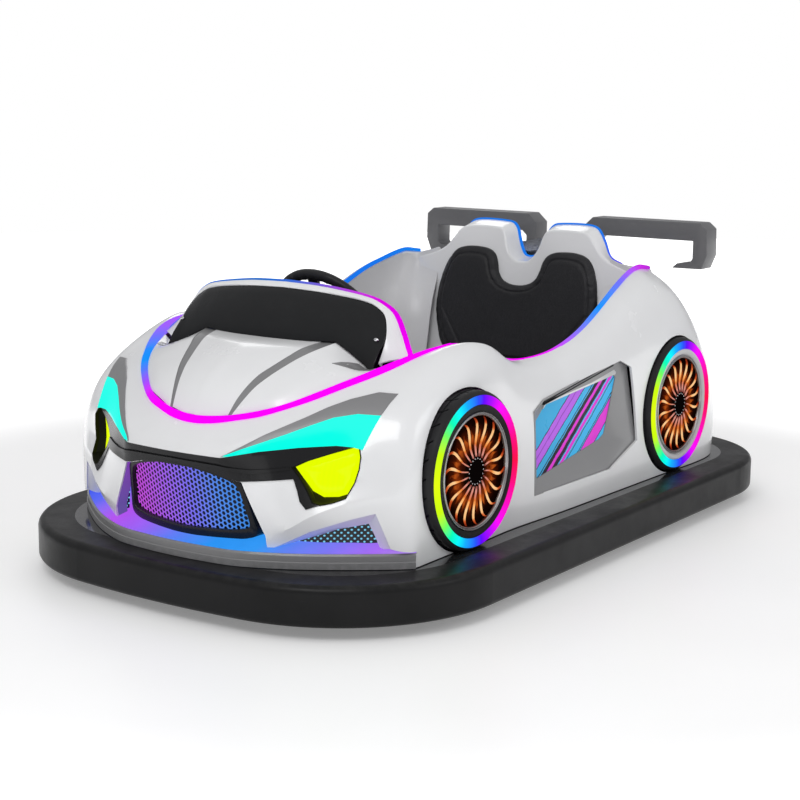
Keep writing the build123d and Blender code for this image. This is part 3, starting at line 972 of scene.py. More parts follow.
@dataclass(frozen=True)
class FlameGlow(Glow):
    """Glowing spokes whose colour runs outwards, uneven as a flame."""

    centre: Flat = (0, 0)
    reach: Flat = (.03, .125)

    def where(self, g: Graph) -> Socket:
        """How far along the colours a point is."""
        radius = Dial().put(g, *self.centre)[0]
        return g.fit(g.plus(radius, g.fit(g.noise(70, 3, .6), .3, .7, -.005, .005)), *self.reach)


@dataclass(frozen=True)
class Lens(Finish):
    """A bright lamp lens: fluted, glossy and lit from behind."""

    colour: Colour = (.8, 1, 0)
    power: float = 1.0
    flutes: Point = (1, 1, 1)

    def write(self, g: Graph) -> None:
        """Writes the finish's nodes."""
        _, gloss, _ = Life().put(g, 4.0, 120.0)
        flute = g.node("TexWave", {"Vector": g.stretched(self.flutes), "Scale": 34.0,
            "Distortion": 0.0}).outputs["Fac"]
        light = g.mix(g.times(flute, g.fit(gloss, 0, 1, .03, .08)), self.colour, scaled(self.colour, .55))
        g.look({"Base Color": g.mix(.5, scaled(self.colour, .03), scaled(self.colour, .05)),
            "Emission Color": light, "Emission Strength": self.power, "Roughness": g.fit(gloss, 0, 1, .1, .2),
            "Specular IOR Level": .06})
        g.bump(flute, .1, .001)


@dataclass(frozen=True)
class DoorArt(Finish):
    """A printed door panel: slanted bands of violet, magenta and black over bright blue."""

    sky: Colour = (.05, .53, .95)
    ink: Colour = (.01, .006, .02)
    pink: Colour = (.85, .03, .75)
    lean: float = .62
    ragged: float = .0012

    def band(self, g: Graph, across: Socket, middle: float, width: float) -> Socket:
        """Masks one slanted band with a hand-cut edge.

        Args:
            g: The graph.
            across: The distance across the bands.
            middle: Where the band lies.
            width: How wide it is.

        Returns:
            The mask.
        """
        wander = g.fit(g.noise(26, 2, .6), .3, .7, -self.ragged, self.ragged)
        return g.calc("LESS_THAN", g.calc("ABSOLUTE", g.minus(g.plus(across, wander), middle)), width / 2)

    def write(self, g: Graph) -> None:
        """Writes the finish's nodes."""
        _, gloss, height = Life().put(g, 2.0, 120.0)
        at = g.axes()
        slope = g.minus(g.times(at["Z"], math.cos(self.lean)), g.times(at["Y"], math.sin(self.lean)))
        picture = g.mix(g.fit(at["Y"], -.26, .14), scaled(self.sky, .8), self.sky)
        bands = ((.316, .041, self.ink), (.316, .036, (.55, .14, .9)), (.318, .003, (.3, .05, .6)),
            (.276, .003, self.ink), (.254, .034, self.ink), (.254, .01, self.pink), (.228, .01, self.pink),
            (.205, .026, self.ink), (.205, .021, self.sky), (.172, .034, self.ink), (.172, .029, self.pink))
        for middle, width, colour in bands:
            picture = g.mix(self.band(g, slope, middle, width), picture, colour)
        scuff, = Scuff().put(g, .5, .2)
        g.look({"Base Color": g.mix(g.times(scuff, .12), picture, (.5, .5, .55)), "Roughness": g.fit(gloss, 0,
            1, .25, .38), "Specular IOR Level": .12})
        g.bump(height, .05, .001)


@dataclass(frozen=True)
class DottedLight(Finish):
    """A black plate with small lit holes in staggered rows."""

    colour: Colour = (.22, .72, 1)
    pitch: Flat = (.0115, .0064)
    hole: float = .0025

    def write(self, g: Graph) -> None:
        """Writes the finish's nodes."""
        tone, gloss, _ = Life().put(g, 3.0, 260.0)
        wide, high = self.pitch
        across, up = g.calc("DIVIDE", g.axes()["X"], wide), g.calc("DIVIDE", g.axes()["Z"], high)
        shifted = g.plus(across, g.times(g.calc("MODULO", g.calc("FLOOR", up), 2.0), .5))
        dx, dz = (g.times(g.minus(g.calc("FRACT", n), .5), size) for n, size in ((shifted, wide), (up, high)))
        hole = g.fit(g.length(dx, dz), self.hole, self.hole * .6, soft=True)
        g.look({"Base Color": g.mix(tone, (.006, .006, .007), (.012, .012, .014)), "Emission Color": g.mix(hole,
            (0, 0, 0), self.colour), "Emission Strength": .8, "Roughness": g.fit(gloss, 0, 1, .25, .45)})
        g.bump(hole, .4, .002)


MAGENTA = (1, 0, 1)
WHITE = Paint("body_gelcoat", (.8, .805, .815), .24, .45, wear=.04, dust=.07)
# A darker, duller copy of the body gelcoat for the tub's inner walls; its darker colour is painted shade.
INNER_PAINTED_SHADE = Paint("cockpit_gelcoat", (.72, .72, .73), .4, .15, .08)
GREY = Paint("grey_trim", (.2, .2, .205), .36, .2, wear=.3)
RECESS = Paint("recess_grey", (.25, .25, .255), .35, .25, wear=.25)
WING = Paint("wing_grey", (.135, .135, .14), .4, .1, rubbed=(.3, .3, .3), wear=.3, shine=.3)
BLACK = Paint("mask_black", (.013, .013, .014), .25, .15, dust=.04, rubbed=(.05, .05, .055), shine=.12)
SMOKED = Paint("smoked_screen", (.014, .0145, .0155), .16, .1, dust=.05, rubbed=(.04, .04, .045), wear=.12,
    shine=.1)
DARK = Paint("dark_liner", (.02, .02, .022), .5, 0, .2, .1, (.05, .05, .05), .1, .25)
# Near-black with a faint olive tint; the tint is painted yellow light from the lens on the pocket wall.
POCKET = Paint("lamp_pocket", (.006, .006, .004), .45, 0, .05, 0, (.02, .02, .015), .05, .08)
HUB = Paint("hub_pad", (.025, .025, .027), .45, .1, .3)
BENCH = Paint("bench_grain", (.03, .03, .032), .5, .05, .3, .15, (.07, .07, .07), .2, .3)
DECK = Paint("deck_gloss", (.014, .014, .015), .12, .35, .05, .08, (.06, .06, .06), .3, .45)
FRAME = Paint("frame_steel", (.035, .035, .038), .42, .1, .05, .5, (.2, .19, .18), .6)
MOTOR = Paint("motor_case", (.06, .065, .075), .4, .1, .05, .6, (.3, .3, .3), .6)
BATTERY = Paint("battery_case", (.03, .032, .036), .45, 0, .3, .5)
# The rear wheels' band: a light grey copy of the black rim band, painted light.
BAND_PAINTED_LIGHT = Paint("rim_band_grey", (.42, .42, .43), .3, .3)
BAND_BLACK = Rubber("rim_band_black", (.006, .006, .0064), .5, .05, 0)
BUMPER = Rubber("bumper_rubber", (.0095, .0095, .0098), .36, .3, .18)
TYRE = Rubber("show_tyre_rubber", (.017, .017, .018), .5, .12, .04)
ROAD = Rubber("road_tyre", (.02, .02, .02), .65, .6, .7, .5)
GRIP = Rubber("steering_grip", (.022, .022, .023), .36, .1, .1, .4)
VINYL, THREAD = Hide("seat_vinyl"), Hide("seat_thread", (.02, .02, .022), .5)
AXLE, RIVET = Metal("axle_steel"), Metal("screen_rivets", (.7, .7, .72), .25)
PEDAL = Metal("pedal_metal", (.6, .6, .61), .28, (220, 4, 220))
RIM = Metal("rim_line_metal", (.42, .41, .41), .3, (200, 20, 20))
CYAN = Lens("cyan_light", (0, 1, .78), 1.0, (0, 0, 1))
YELLOW = Lens("yellow_light", (.8, 1, 0), 1.0, (1, 0, 0))
RED = Lens("red_light", (1, .01, .01), .9, (1, 0, 0))


# ---- Moulded body ---------------------------------------------------------------------------


DECK_TOP = .1215
WHEELS: Outline = ((-.51, .298), (.484, .301))
DOOR_RIM: Outline = ((-.2156, .3818), (-.1735, .4029), (.1877, .453), (.2377, .4312), (.2769, .2364),
    (.1437, .1847), (-.2118, .1838))
LAMP_MOUTH: Outline = ((.262, .335), (.283, .3475), (.324, .364), (.366, .381), (.379, .3775), (.386, .361),
    (.384, .335), (.3765, .305), (.3686, .2737), (.348, .2645), (.3266, .2591), (.311, .264), (.2935, .29),
    (.276, .315))


def struck(tree: BVHTree, side: Side, outline: Sequence[Flat]) -> list[Vector]:
    """Finds where front-view points of the left side, moved to a side, meet the body's face."""
    return [tree.ray_cast(Vector((x, -1.2, z)), Vector((0, 1, 0)))[0] for x, z in side.flat(outline)]


@dataclass
class Body:
    """The one-piece moulded body: a ring of ribs from its hem up to the bonnet and the cockpit rail."""

    wall: float = .006
    well_radius: float = .1826
    well_floor: float = .405
    door_floor: float = .44
    reach: float = .56
    ribs: tuple[Line, ...] = (
        ((0, -.93, .122), (0, -.932, .15), (0, -.925, .22), (0, -.925, .302), (0, -.943, .351),
         (0, -.925, .365), (0, -.905, .381), (0, -.877, .401)),
        ((.15, -.92, .122), (.15, -.922, .15), (.172, -.903, .215), (.165, -.905, .3), (.134, -.934, .352),
         (.136, -.929, .358), (.138, -.922, .364), (.106, -.858, .415)),
        ((.24, -.862, .122), (.24, -.866, .15), (.235, -.885, .178), (.215, -.886, .305), (.203, -.889, .367),
         (.205, -.88, .385), (.202, -.87, .4), (.184, -.82, .435)),
        ((.31, -.818, .122), (.31, -.822, .15), (.299, -.87, .229), (.268, -.857, .311), (.27, -.838, .376),
         (.276, -.812, .419), (.262, -.803, .435), (.25, -.765, .462)),
        ((.36, -.782, .122), (.36, -.786, .15), (.337, -.843, .25), (.332, -.803, .3), (.335, -.79, .381),
         (.34, -.76, .441), (.322, -.738, .47), (.29, -.722, .485)),
        ((.418, -.76, .122), (.42, -.762, .15), (.378, -.803, .268), (.374, -.785, .305), (.384, -.778, .36),
         (.397, -.727, .442), (.404, -.675, .482), (.33, -.665, .506)),
        ((.482, -.735, .122), (.484, -.735, .15), (.486, -.737, .29), (.481, -.737, .33), (.462, -.726, .385),
         (.44, -.708, .437), (.408, -.662, .49), (.356, -.622, .523)),
        ((.481, -.69, .122), (.482, -.69, .15), (.484, -.69, .27), (.483, -.688, .34), (.478, -.681, .405),
         (.464, -.662, .455), (.412, -.625, .515), (.372, -.585, .537)),
        ((.478, -.58, .122), (.478, -.58, .15), (.478, -.58, .27), (.478, -.58, .37), (.476, -.58, .44),
         (.464, -.575, .488), (.412, -.56, .545), (.384, -.535, .551)),
        ((.478, -.51, .122), (.478, -.51, .15), (.476, -.51, .27), (.476, -.51, .38), (.475, -.51, .46),
         (.468, -.505, .515), (.412, -.49, .568), (.391, -.48, .56)),
        ((.478, -.43, .122), (.478, -.43, .15), (.476, -.43, .27), (.476, -.43, .38), (.474, -.43, .45),
         (.465, -.43, .529), (.424, -.43, .578), (.398, -.43, .558)),
        ((.474, -.36, .122), (.474, -.36, .15), (.474, -.36, .27), (.474, -.36, .36), (.471, -.36, .43),
         (.463, -.355, .516), (.435, -.35, .569), (.406, -.36, .536)),
        ((.472, -.3, .122), (.472, -.3, .15), (.473, -.3, .26), (.472, -.3, .34), (.468, -.3, .41),
         (.459, -.3, .472), (.444, -.298, .523), (.411, -.3, .514)),
        ((.476, -.22, .122), (.476, -.22, .15), (.475, -.22, .25), (.474, -.22, .33), (.47, -.22, .395),
         (.46, -.22, .45), (.444, -.22, .486), (.414, -.22, .496)),
        ((.482, -.09, .122), (.482, -.09, .15), (.48, -.09, .24), (.477, -.09, .32), (.472, -.09, .39),
         (.462, -.09, .445), (.444, -.09, .482), (.414, -.09, .492)),
        ((.484, .03, .122), (.484, .03, .15), (.483, .03, .24), (.48, .03, .32), (.476, .03, .395),
         (.466, .03, .455), (.446, .03, .496), (.414, .03, .508)),
        ((.485, .14, .122), (.485, .14, .15), (.485, .14, .25), (.484, .14, .34), (.48, .14, .425),
         (.47, .14, .495), (.448, .14, .536), (.414, .14, .547)),
        ((.487, .25, .122), (.488, .25, .15), (.489, .25, .26), (.489, .25, .36), (.486, .25, .45),
         (.474, .25, .535), (.446, .25, .586), (.405, .25, .6)),
        ((.488, .35, .122), (.489, .35, .15), (.49, .35, .27), (.491, .35, .38), (.488, .35, .47),
         (.474, .35, .565), (.44, .35, .626), (.391, .35, .634)),
        ((.49, .45, .122), (.491, .45, .15), (.492, .45, .28), (.493, .45, .39), (.49, .45, .49),
         (.472, .45, .58), (.432, .45, .643), (.381, .45, .66)),
        ((.493, .55, .122), (.494, .55, .15), (.494, .55, .27), (.493, .55, .37), (.489, .55, .46),
         (.472, .55, .56), (.436, .545, .61), (.376, .535, .648)),
        ((.496, .65, .122), (.498, .65, .15), (.5, .65, .26), (.497, .65, .35), (.489, .64, .42),
         (.466, .63, .505), (.42, .615, .578), (.335, .556, .648)),
        ((.484, .755, .122), (.486, .757, .15), (.488, .762, .25), (.48, .755, .32), (.464, .74, .39),
         (.436, .71, .48), (.378, .67, .583), (.285, .546, .643)),
        ((.42, .838, .122), (.421, .84, .15), (.422, .846, .25), (.41, .836, .32), (.388, .815, .39),
         (.355, .78, .475), (.296, .72, .565), (.2, .542, .636)),
        ((.28, .872, .122), (.28, .874, .15), (.278, .88, .25), (.268, .868, .32), (.25, .845, .39),
         (.225, .805, .47), (.185, .74, .556), (.11, .542, .632)),
        ((0, .876, .122), (0, .878, .15), (0, .884, .25), (0, .872, .32), (0, .848, .39), (0, .806, .468),
         (0, .745, .55), (0, .542, .63)))
    mouth: Outline = ((0, .323), (.05, .322), (.1, .313), (.14, .303), (.1665, .2985), (.1765, .2745),
        (.1878, .2488), (.2065, .2099), (.2175, .186), (.2183, .1544), (.2655, .1788), (.3065, .2016),
        (.342, .2155), (.3763, .2288), (.4215, .2434), (.4335, .206), (.4458, .1661), (.4639, .1613),
        (.4816, .1575), (.4814, .1), (0, .1))

    def crease(self, a: tuple[int, int], b: tuple[int, int]) -> float:
        """Says how sharp the body is along one edge of its ribs.

        Args:
            a: The (rib, row) of one end, ribs counted from the nose.
            b: The (rib, row) of the other end.

        Returns:
            The crease, from 0 to 1.
        """
        (rib, row), (other_rib, other_row) = sorted((a, b))
        along, nose = row == other_row, max(rib, other_rib) <= 5
        rules = ((along and nose and row == 4, 1.0), (along and nose and row == 6, .55),
            (along and nose and row == 3, .8 if rib >= 1 else .3), (along and row == 2 and 2 <= rib <= 5, 1.0),
            (rib == other_rib == 5 and min(row, other_row) >= 2 and max(row, other_row) <= 6, .9),
            (along and row == 7, .6), (rib == other_rib == 1 and {row, other_row} <= {2, 3, 4}, .5),)
        return next((sharp for holds, sharp in rules if holds), 0.0)

    def cage(self) -> Obj:
        """Bridges the ribs of both sides into one ring, with its creases set."""
        bm = bmesh.new()
        names: dict[bmesh.types.BMVert, tuple[int, int]] = {}
        last = len(self.ribs) - 1
        loops = []
        for index, side in [(i, Side.LEFT) for i in range(last + 1)] + [(i, Side.RIGHT) for i in range(last - 1,
                0, -1)]:
            edges = chain(bm, side.put(self.ribs[index]))
            verts = [edges[0].verts[0]] + [e.verts[1] for e in edges]
            names.update({vert: (index, row) for row, vert in enumerate(verts)})
            loops.append(edges)
        for one, two in zip(loops, loops[1:] + loops[:1]):
            bmesh.ops.bridge_loops(bm, edges=one + two)
        facing(bm, (0, 0, 1))
        layer = bm.edges.layers.float.new("crease_edge")
        for edge in bm.edges:
            edge[layer] = self.crease(names[edge.verts[0]], names[edge.verts[1]])
        return place(bm, "body_cage")

    def skin(self) -> Obj:
        """Smooths the cage into the body's outer face, open at the hem and at the rail."""
        cage = self.cage()
        smoothing = cage.modifiers.new("smooth", "SUBSURF")
        smoothing.levels = smoothing.render_levels = 3
        smoothing.boundary_smooth = "ALL"
        smoothing.use_limit_surface = False
        return settle(cage)

    def openings(self) -> Iterator[Obj]:
        """Makes the solids that cut the mouth, the wheel wells, the doors' recesses and the lamps."""
        yield prism(mirrored(self.mouth), View.FRONT, (-1.05, -.7083))
        for side in Side:
            for centre in WHEELS:
                yield barrel((0, *centre), self.well_radius, (side.value * self.well_floor,
                    side.value * self.reach))
            yield prism(DOOR_RIM, View.SIDE, (side.value * self.door_floor, side.value * self.reach))
            yield prism(side.flat(LAMP_MOUTH), View.FRONT, (-1.05, -.72))

    def build(self, skin: Obj) -> list[Obj]:
        """Builds the shell with its openings out of the body's outer face.

        Args:
            skin: The body's outer face.

        Returns:
            The shell.
        """
        shell = wall(twin(skin, "body_shell"), self.wall)
        for cutter in self.openings():
            carve(shell, cutter)
        nodes = ("front_body", "rear_body", "side_body_left", "side_body_right")
        return [fit(shell, WHITE, "body_gelcoat", *nodes, angle=30)]


@dataclass
class Plates:
    """The thin panels let into the nose: grey brows, cyan lights, the black mask and its lamps."""

    proud: float = .0022
    brow: Outline = ((.133, .354), (.17, .378), (.202, .4), (.231, .417), (.262, .435), (.293, .455),
        (.326, .471), (.367, .484), (.405, .482), (.4, .455), (.397, .442), (.354, .444), (.314, .436),
        (.278, .42), (.243, .403), (.207, .387), (.172, .372), (.137, .356))
    cyan: Outline = ((.397, .442), (.354, .444), (.314, .436), (.278, .42), (.243, .403), (.207, .387),
        (.172, .372), (.137, .356), (.15, .356), (.203, .367), (.27, .376), (.335, .381), (.366, .379),
        (.385, .375), (.389, .4))
    mask: Outline = ((0, .351), (.134, .352), (.203, .367), (.27, .376), (.335, .381), (.366, .379),
        (.38, .372), (.385, .358), (.381, .329), (.372, .301), (.356, .273), (.332, .263), (.303, .251),
        (.288, .266), (.278, .29), (.268, .311), (.215, .305), (.165, .3), (.14, .304), (.1, .314), (.05, .323),
        (0, .324))
    fold: Outline = ((0, .336), (.12, .3335), (.19, .328), (.222, .331), (.26, .336), (.26, .331), (.224, .325),
        (.19, .319), (.12, .327), (0, .33))
    lens: Line = ((.252, -.8305, .3313), (.269, -.8155, .3408), (.31, -.7835, .3573), (.356, -.756, .3738),
        (.364, -.7535, .3698), (.371, -.7575, .3563), (.37, -.7565, .3378), (.363, -.763, .3068),
        (.357, -.7745, .2783), (.338, -.7905, .2708), (.312, -.8075, .2698), (.29, -.8165, .2818),
        (.273, -.8205, .3028), (.258, -.8275, .3218))

    def pocket(self, tree: BVHTree, side: Side) -> list[Obj]:
        """Builds a lamp's deep pocket and the bright lens at its back.

        Args:
            tree: The body's outer face.
            side: Which lamp.

        Returns:
            The pocket and the lens.
        """
        mouth, inner = struck(tree, side, LAMP_MOUTH), [Vector(p) for p in side.put(self.lens)]
        out = Vector((side.value * .25, -.93, .1)).normalized()
        heart, middle = (sum(ring, Vector()) / len(ring) for ring in (mouth, inner))
        lip = [p.lerp(heart, .03) for p in mouth]
        sunk = [p + Vector((0, .009, 0)) for p in lip]
        ribs = [[p + out * .0022 for p in mouth], [p + out * .0022 for p in lip], sunk]
        ribs += [blend(sunk, inner, share) for share in (.3, .65, 1.0)] + [[b + Vector((0, .004, 0))
            for b in inner]]
        pocket = sheet(ribs, (0, -1, 0), f"lamp_pocket_{side.word}", .002, True)
        rings = [[middle.lerp(p, s) + out * lift for p in inner] for s, lift in ((1.02, -.003), (1.0, 0.0),
            (.93, .003), (.6, .006), (.2, .0075))]
        lens = place(outward(lofted(rings, closed=True, capped=True)), f"lamp_lens_{side.word}")
        return [fit(pocket, POCKET, "black_gloss", angle=30), fit(lens, YELLOW, "yellow_light",
            f"headlamp_{side.word}", angle=60)]

    def plate(self, skin: Obj, outline: Sequence[Flat], name: str, proud: float) -> Obj:
        """Cuts one panel out of a thickened copy of the body's face.

        Args:
            skin: The body's outer face.
            outline: The panel's outline in front view.
            name: Its name.
            proud: How far it stands off the body.

        Returns:
            The panel.
        """
        panel = wall(twin(skin, name), proud + .0015, 1.0)
        for vert in panel.data.vertices:
            vert.co.y += .0015
        return carve(panel, prism(outline, View.FRONT, (-1.0, -.58)), "INTERSECT")

    def build(self, skin: Obj) -> list[Obj]:
        """Builds every panel out of the body's outer face.

        Args:
            skin: The body's outer face.

        Returns:
            The panels, the pockets and the lenses.
        """
        front = twin(skin, "front_face")
        with opened(front) as bm:
            bmesh.ops.bisect_plane(bm, geom=bm.verts[:] + bm.edges[:] + bm.faces[:], plane_co=(0, -.56, 0),
                plane_no=(0, 1, 0), clear_outer=True)
        tree = tree_of(front)
        mask = self.plate(front, mirrored(self.mask), "lamp_mask", self.proud)
        for side in Side:
            carve(mask, prism(side.flat(LAMP_MOUTH), View.FRONT, (-1.0, -.6)))
        fold = self.plate(front, mirrored(self.fold), "mask_fold", self.proud * 2.4)
        pieces = [fit(mask, BLACK, "black_gloss", "front_mask", angle=30), fit(fold, BLACK, "black_gloss",
            angle=30)]
        for side in Side:
            brow = self.plate(front, side.flat(self.brow), f"brow_trim_{side.word}", self.proud * .6)
            cyan = self.plate(front, side.flat(self.cyan), f"brow_panel_{side.word}", self.proud)
            pieces += [fit(brow, GREY, "grey_trim", angle=30), fit(cyan, CYAN, "cyan_light",
                f"brow_light_{side.word}", angle=30), *self.pocket(tree, side)]
        drop(front)
        return pieces


@dataclass
class Arches:
    """The dark wells behind the show wheels."""

    radius: float = .179
    depth: float = .4
    outer: float = .458

    def build(self) -> list[Obj]:
        """Builds a dark well behind each show wheel, cut off at the deck."""
        pieces = []
        r, low = self.radius, self.depth
        profile = [(.001, low), (.06, low), (r - .03, low), (r - .008, low + .006), (r, low + .022),
            (r, self.outer - .006), (r + .003, self.outer - .006), (r + .003, low + .018),
            (r - .006, low - .001), (r - .03, low - .006), (.06, low - .006), (.001, low - .006)]
        for side in Side:
            for word, centre in zip(("front", "rear"), WHEELS):
                well = turned(profile, (0, *centre), f"wheel_well_{word}_{side.word}", 72, side.value)
                with opened(well) as bm:
                    sealed(bm)
                below = side.flat(((.38, .1), (.6, .1), (.6, DECK_TOP), (.38, DECK_TOP)))
                carve(well, prism(below, View.FRONT, (-1, 1)))
                pieces.append(fit(well, DARK, "black_gloss", angle=35))
        return pieces


# ---- Nose -----------------------------------------------------------------------------------


def strip(name: str, outer: Sequence[Point], inner: Sequence[Point], thick: float, crown: float) -> Obj:
    """Builds a crowned strip between two edges, each point keeping how far along it is.

    Args:
        name: The strip's name.
        outer: One edge.
        inner: The other edge, with as many points.
        thick: How deep it goes.
        crown: How far its middle rises.

    Returns:
        The strip.
    """
    ribs = []
    for i, (one, two) in enumerate(zip(map(Vector, outer), map(Vector, inner))):
        way = Vector(outer[min(i + 1, len(outer) - 1)]) - Vector(outer[max(i - 1, 0)])
        across = two - one
        up = across.cross(way).normalized()
        if up.z < 0:
            up = -up
        raised = [one + across * share + up * crown * rise for share, rise in ((.12, .7), (.5, 1), (.88, .7))]
        ribs.append([one - up * thick, one, *raised, two, two - up * thick])
    return smooth(place(lofted(ribs, closed=True, capped=True), name), 50)


@dataclass
class Nose:
    """The mouth: the honeycomb in its frame, the glowing lip, the skirt and the lower grilles."""

    pitch: float = .0101
    bar: float = .0011
    cheek: Outline = ((.1665, .2985), (.1765, .2745), (.1878, .2488), (.2065, .2099), (.2175, .186),
        (.2183, .1544))
    lower_rim: Outline = ((.2183, .1544), (.2655, .1788), (.3065, .2016), (.342, .2155), (.3763, .2288),
        (.4215, .2434), (.4335, .206), (.4458, .1661))
    lower_hole: Line = ((.2166, -.8543, .1522), (.267, -.8347, .1735), (.3062, -.8138, .1877),
        (.3406, -.7927, .2018), (.3724, -.7719, .2091), (.3941, -.7593, .2149), (.4039, -.7502, .1877),
        (.4123, -.7419, .1582))
    dots: Line = ((.226, -.842, 0), (.2606, -.825, 0), (.2991, -.803, 0), (.3315, -.779, 0), (.3618, -.756, 0),
        (.3831, -.742, 0), (.4013, -.725, 0), (.44, -.69, 0))
    frame_outline: Outline = ((0, .328), (.05, .327), (.1, .318), (.15, .303), (.163, .293), (.183, .186),
        (.177, .174), (.15, .167), (0, .16))
    frame_hole: Outline = ((0, .3195), (.046, .319), (.09, .311), (.125, .302), (.148, .291), (.157, .27),
        (.1685, .201), (.164, .192), (.12, .184), (0, .178))
    shelf_edge: Outline = ((0, -.938), (.08, -.934), (.16, -.923), (.25, -.884), (.31, -.848), (.36, -.812),
        (.41, -.773), (.452, -.738), (.482, -.7085))
    shelf_back: Outline = ((0, -.88), (.08, -.878), (.16, -.868), (.22, -.835), (.27, -.8), (.32, -.762),
        (.365, -.724), (.41, -.692), (.44, -.672))

    def bend(self, piece: Obj, back: float = 0.0) -> Obj:
        """Moves a flat piece, built about y = 0, onto the honeycomb's curved face."""
        for vert in piece.data.vertices:
            vert.co.y += -.922 + vert.co.x ** 2 + .2 * (.298 - vert.co.z) + back
        return piece

    def honeycomb(self) -> Obj:
        """Builds the lattice from insetted hexagons."""
        bm = bmesh.new()
        size, rise = self.pitch / 1.5, self.pitch * 1.15
        for column in range(-18, 19):
            for row in range(-1, 15):
                x, z = column * self.pitch, .172 + (row + .5 * (column % 2)) * rise
                turn = Matrix.Translation((x, 0, z)) @ Matrix.Rotation(math.pi / 2, 4,
                    "X") @ Matrix.Rotation(math.pi / 6, 4, "Z")
                made = bmesh.ops.create_circle(bm, cap_ends=True, segments=6, radius=size, matrix=turn)
                bmesh.ops.scale(bm, verts=made["verts"], vec=(1, 1, 1.15 * 1.5 / math.sqrt(3)),
                    space=Matrix.Translation((-x, 0, -z)))
        bmesh.ops.remove_doubles(bm, verts=bm.verts, dist=.0006)
        cells = bm.faces[:]
        bmesh.ops.inset_individual(bm, faces=cells, thickness=self.bar, use_even_offset=True)
        bmesh.ops.delete(bm, geom=cells, context="FACES")
        comb = wall(place(facing(bm, (0, -1, 0)), "grille_comb"), .0025, 0)
        carve(comb, prism(mirrored(self.frame_hole), View.FRONT, (-.02, .02)), "INTERSECT")
        tone = ((0, (.52, .08, .7)), (.3, (.36, .12, .85)), (.55, (.2, .17, .92)), (.8, (.09, .26, .85)),
            (1, (.05, .25, .75)))
        glow = AxisGlow("grille_glow", tone, .95, (.02, .01, .03), (-.14, .155))
        return fit(self.bend(comb, .01), glow, "grille_light", "grille", angle=30)

    def frame(self) -> list[Obj]:
        """Builds the frame round the honeycomb and the dark plate behind it."""
        frame = prism(mirrored(self.frame_outline), View.FRONT, (-.004, .03), "grille_frame", .008)
        carve(frame, prism(mirrored(self.frame_hole), View.FRONT, (-.05, .05), rounding=.007))
        back = prism(mirrored(self.frame_outline), View.FRONT, (.024, .032), "grille_back", .008)
        for piece in (frame, back):
            with opened(piece) as bm:
                sliced(bm, [i * .02 for i in range(-9, 10)])
            self.bend(piece)
        return [fit(rounded(frame, .0016), BLACK, "black_gloss"), fit(back, DARK, "black_gloss", angle=30)]

    def both(self, points: Sequence[Flat], z: float) -> list[Point]:
        """Runs a half outline right across the car at one height."""
        return evenly(flowing(across_car([(x, y, z) for x, y in points]), 6), 72)

    def shelf(self) -> Obj:
        """Builds the glowing shelf that runs from the lip up to the foot of the grille."""
        edge, back = self.both(self.shelf_edge, .1585), self.both(self.shelf_back, .17)
        rows = [self.both(self.shelf_edge, .1545), self.both(self.shelf_edge, .1575),
            [(x * .99, y + .004, z) for x, y, z in edge]]
        rows += [[(x, y, z + lift) for x, y, z in blend(edge, back, share)] for share,
            lift in ((.35, 0), (.7, .001), (1, .003))]
        rows.append([(x * .96, y + .035, z + .01) for x, y, z in back])
        bm = facing(lofted(rows), (0, -.3, 1))
        for vert in bm.verts:
            hump = max(0.0, 1 - abs(vert.co.x) / .205)
            if vert.co.z > .1576:
                vert.co.z -= .006 * min(1, hump * 4) * (1 if vert.co.z > .16 else .3)
        tone = ((0, (.06, .12, .95)), (.1, (.12, .16, 1)), (.17, (.3, .16, 1)), (.26, (.5, .09, .95)),
            (.36, (.36, .13, 1)), (.48, (.12, .22, 1)), (.6, (.02, .32, 1)), (.72, (.03, .34, 1)),
            (.78, (.12, .25, .98)), (.86, (.22, .2, 1)), (.95, (.42, .16, 1)), (1, (.45, .25, .9)))
        glow = AxisGlow("lip_light", tone, .9, (.1, .1, .12), (-.46, .46))
        return fit(wall(place(bm, "lip_glow"), .004), glow, "light_strip", "front_lip", angle=40)

    def skirt(self) -> Obj:
        """Builds the grey skirt below the lip, with a faint step along it."""
        steps = ((1.0, -.004, .155), (1.0, .0015, .154), (1.004, .004, .15), (1.004, .004, .137),
            (1.006, .0055, .1355), (1.006, .0055, DECK_TOP))
        rows = [[(x, y, z) for x, y, _ in self.both([(x * s, y - d) for x, y in self.shelf_edge], 0)] for s, d,
            z in steps]
        return fit(sheet(rows, (0, -1, 0), "nose_skirt", .006), GREY, "grey_trim", "front_skirt", angle=30)

    def liner(self, tree: BVHTree, side: Side) -> list[Obj]:
        """Builds the inner cheeks of one fang, from the body's face back into the mouth.

        Args:
            tree: The body's outer face.
            side: Which fang.

        Returns:
            The cheek of the mouth and the cheek of the lower opening.
        """
        path = [(x, z) for x, _, z in evenly([(x, 0, z) for x, z in self.cheek], 20)]
        hits = struck(tree, side, path)
        fronts = [(side.value * x, hit.y + .0045, z) for (x, z), hit in zip(path, hits)]
        backs = [(side.value * (x - .004), hit.y + .03, z) for (x, z), hit in zip(path, hits)]
        inside = (-side.value, -.2, -.4)
        cheek = sheet([fronts, blend(fronts, backs, .5), backs], inside, f"fang_cheek_{side.word}", .004)
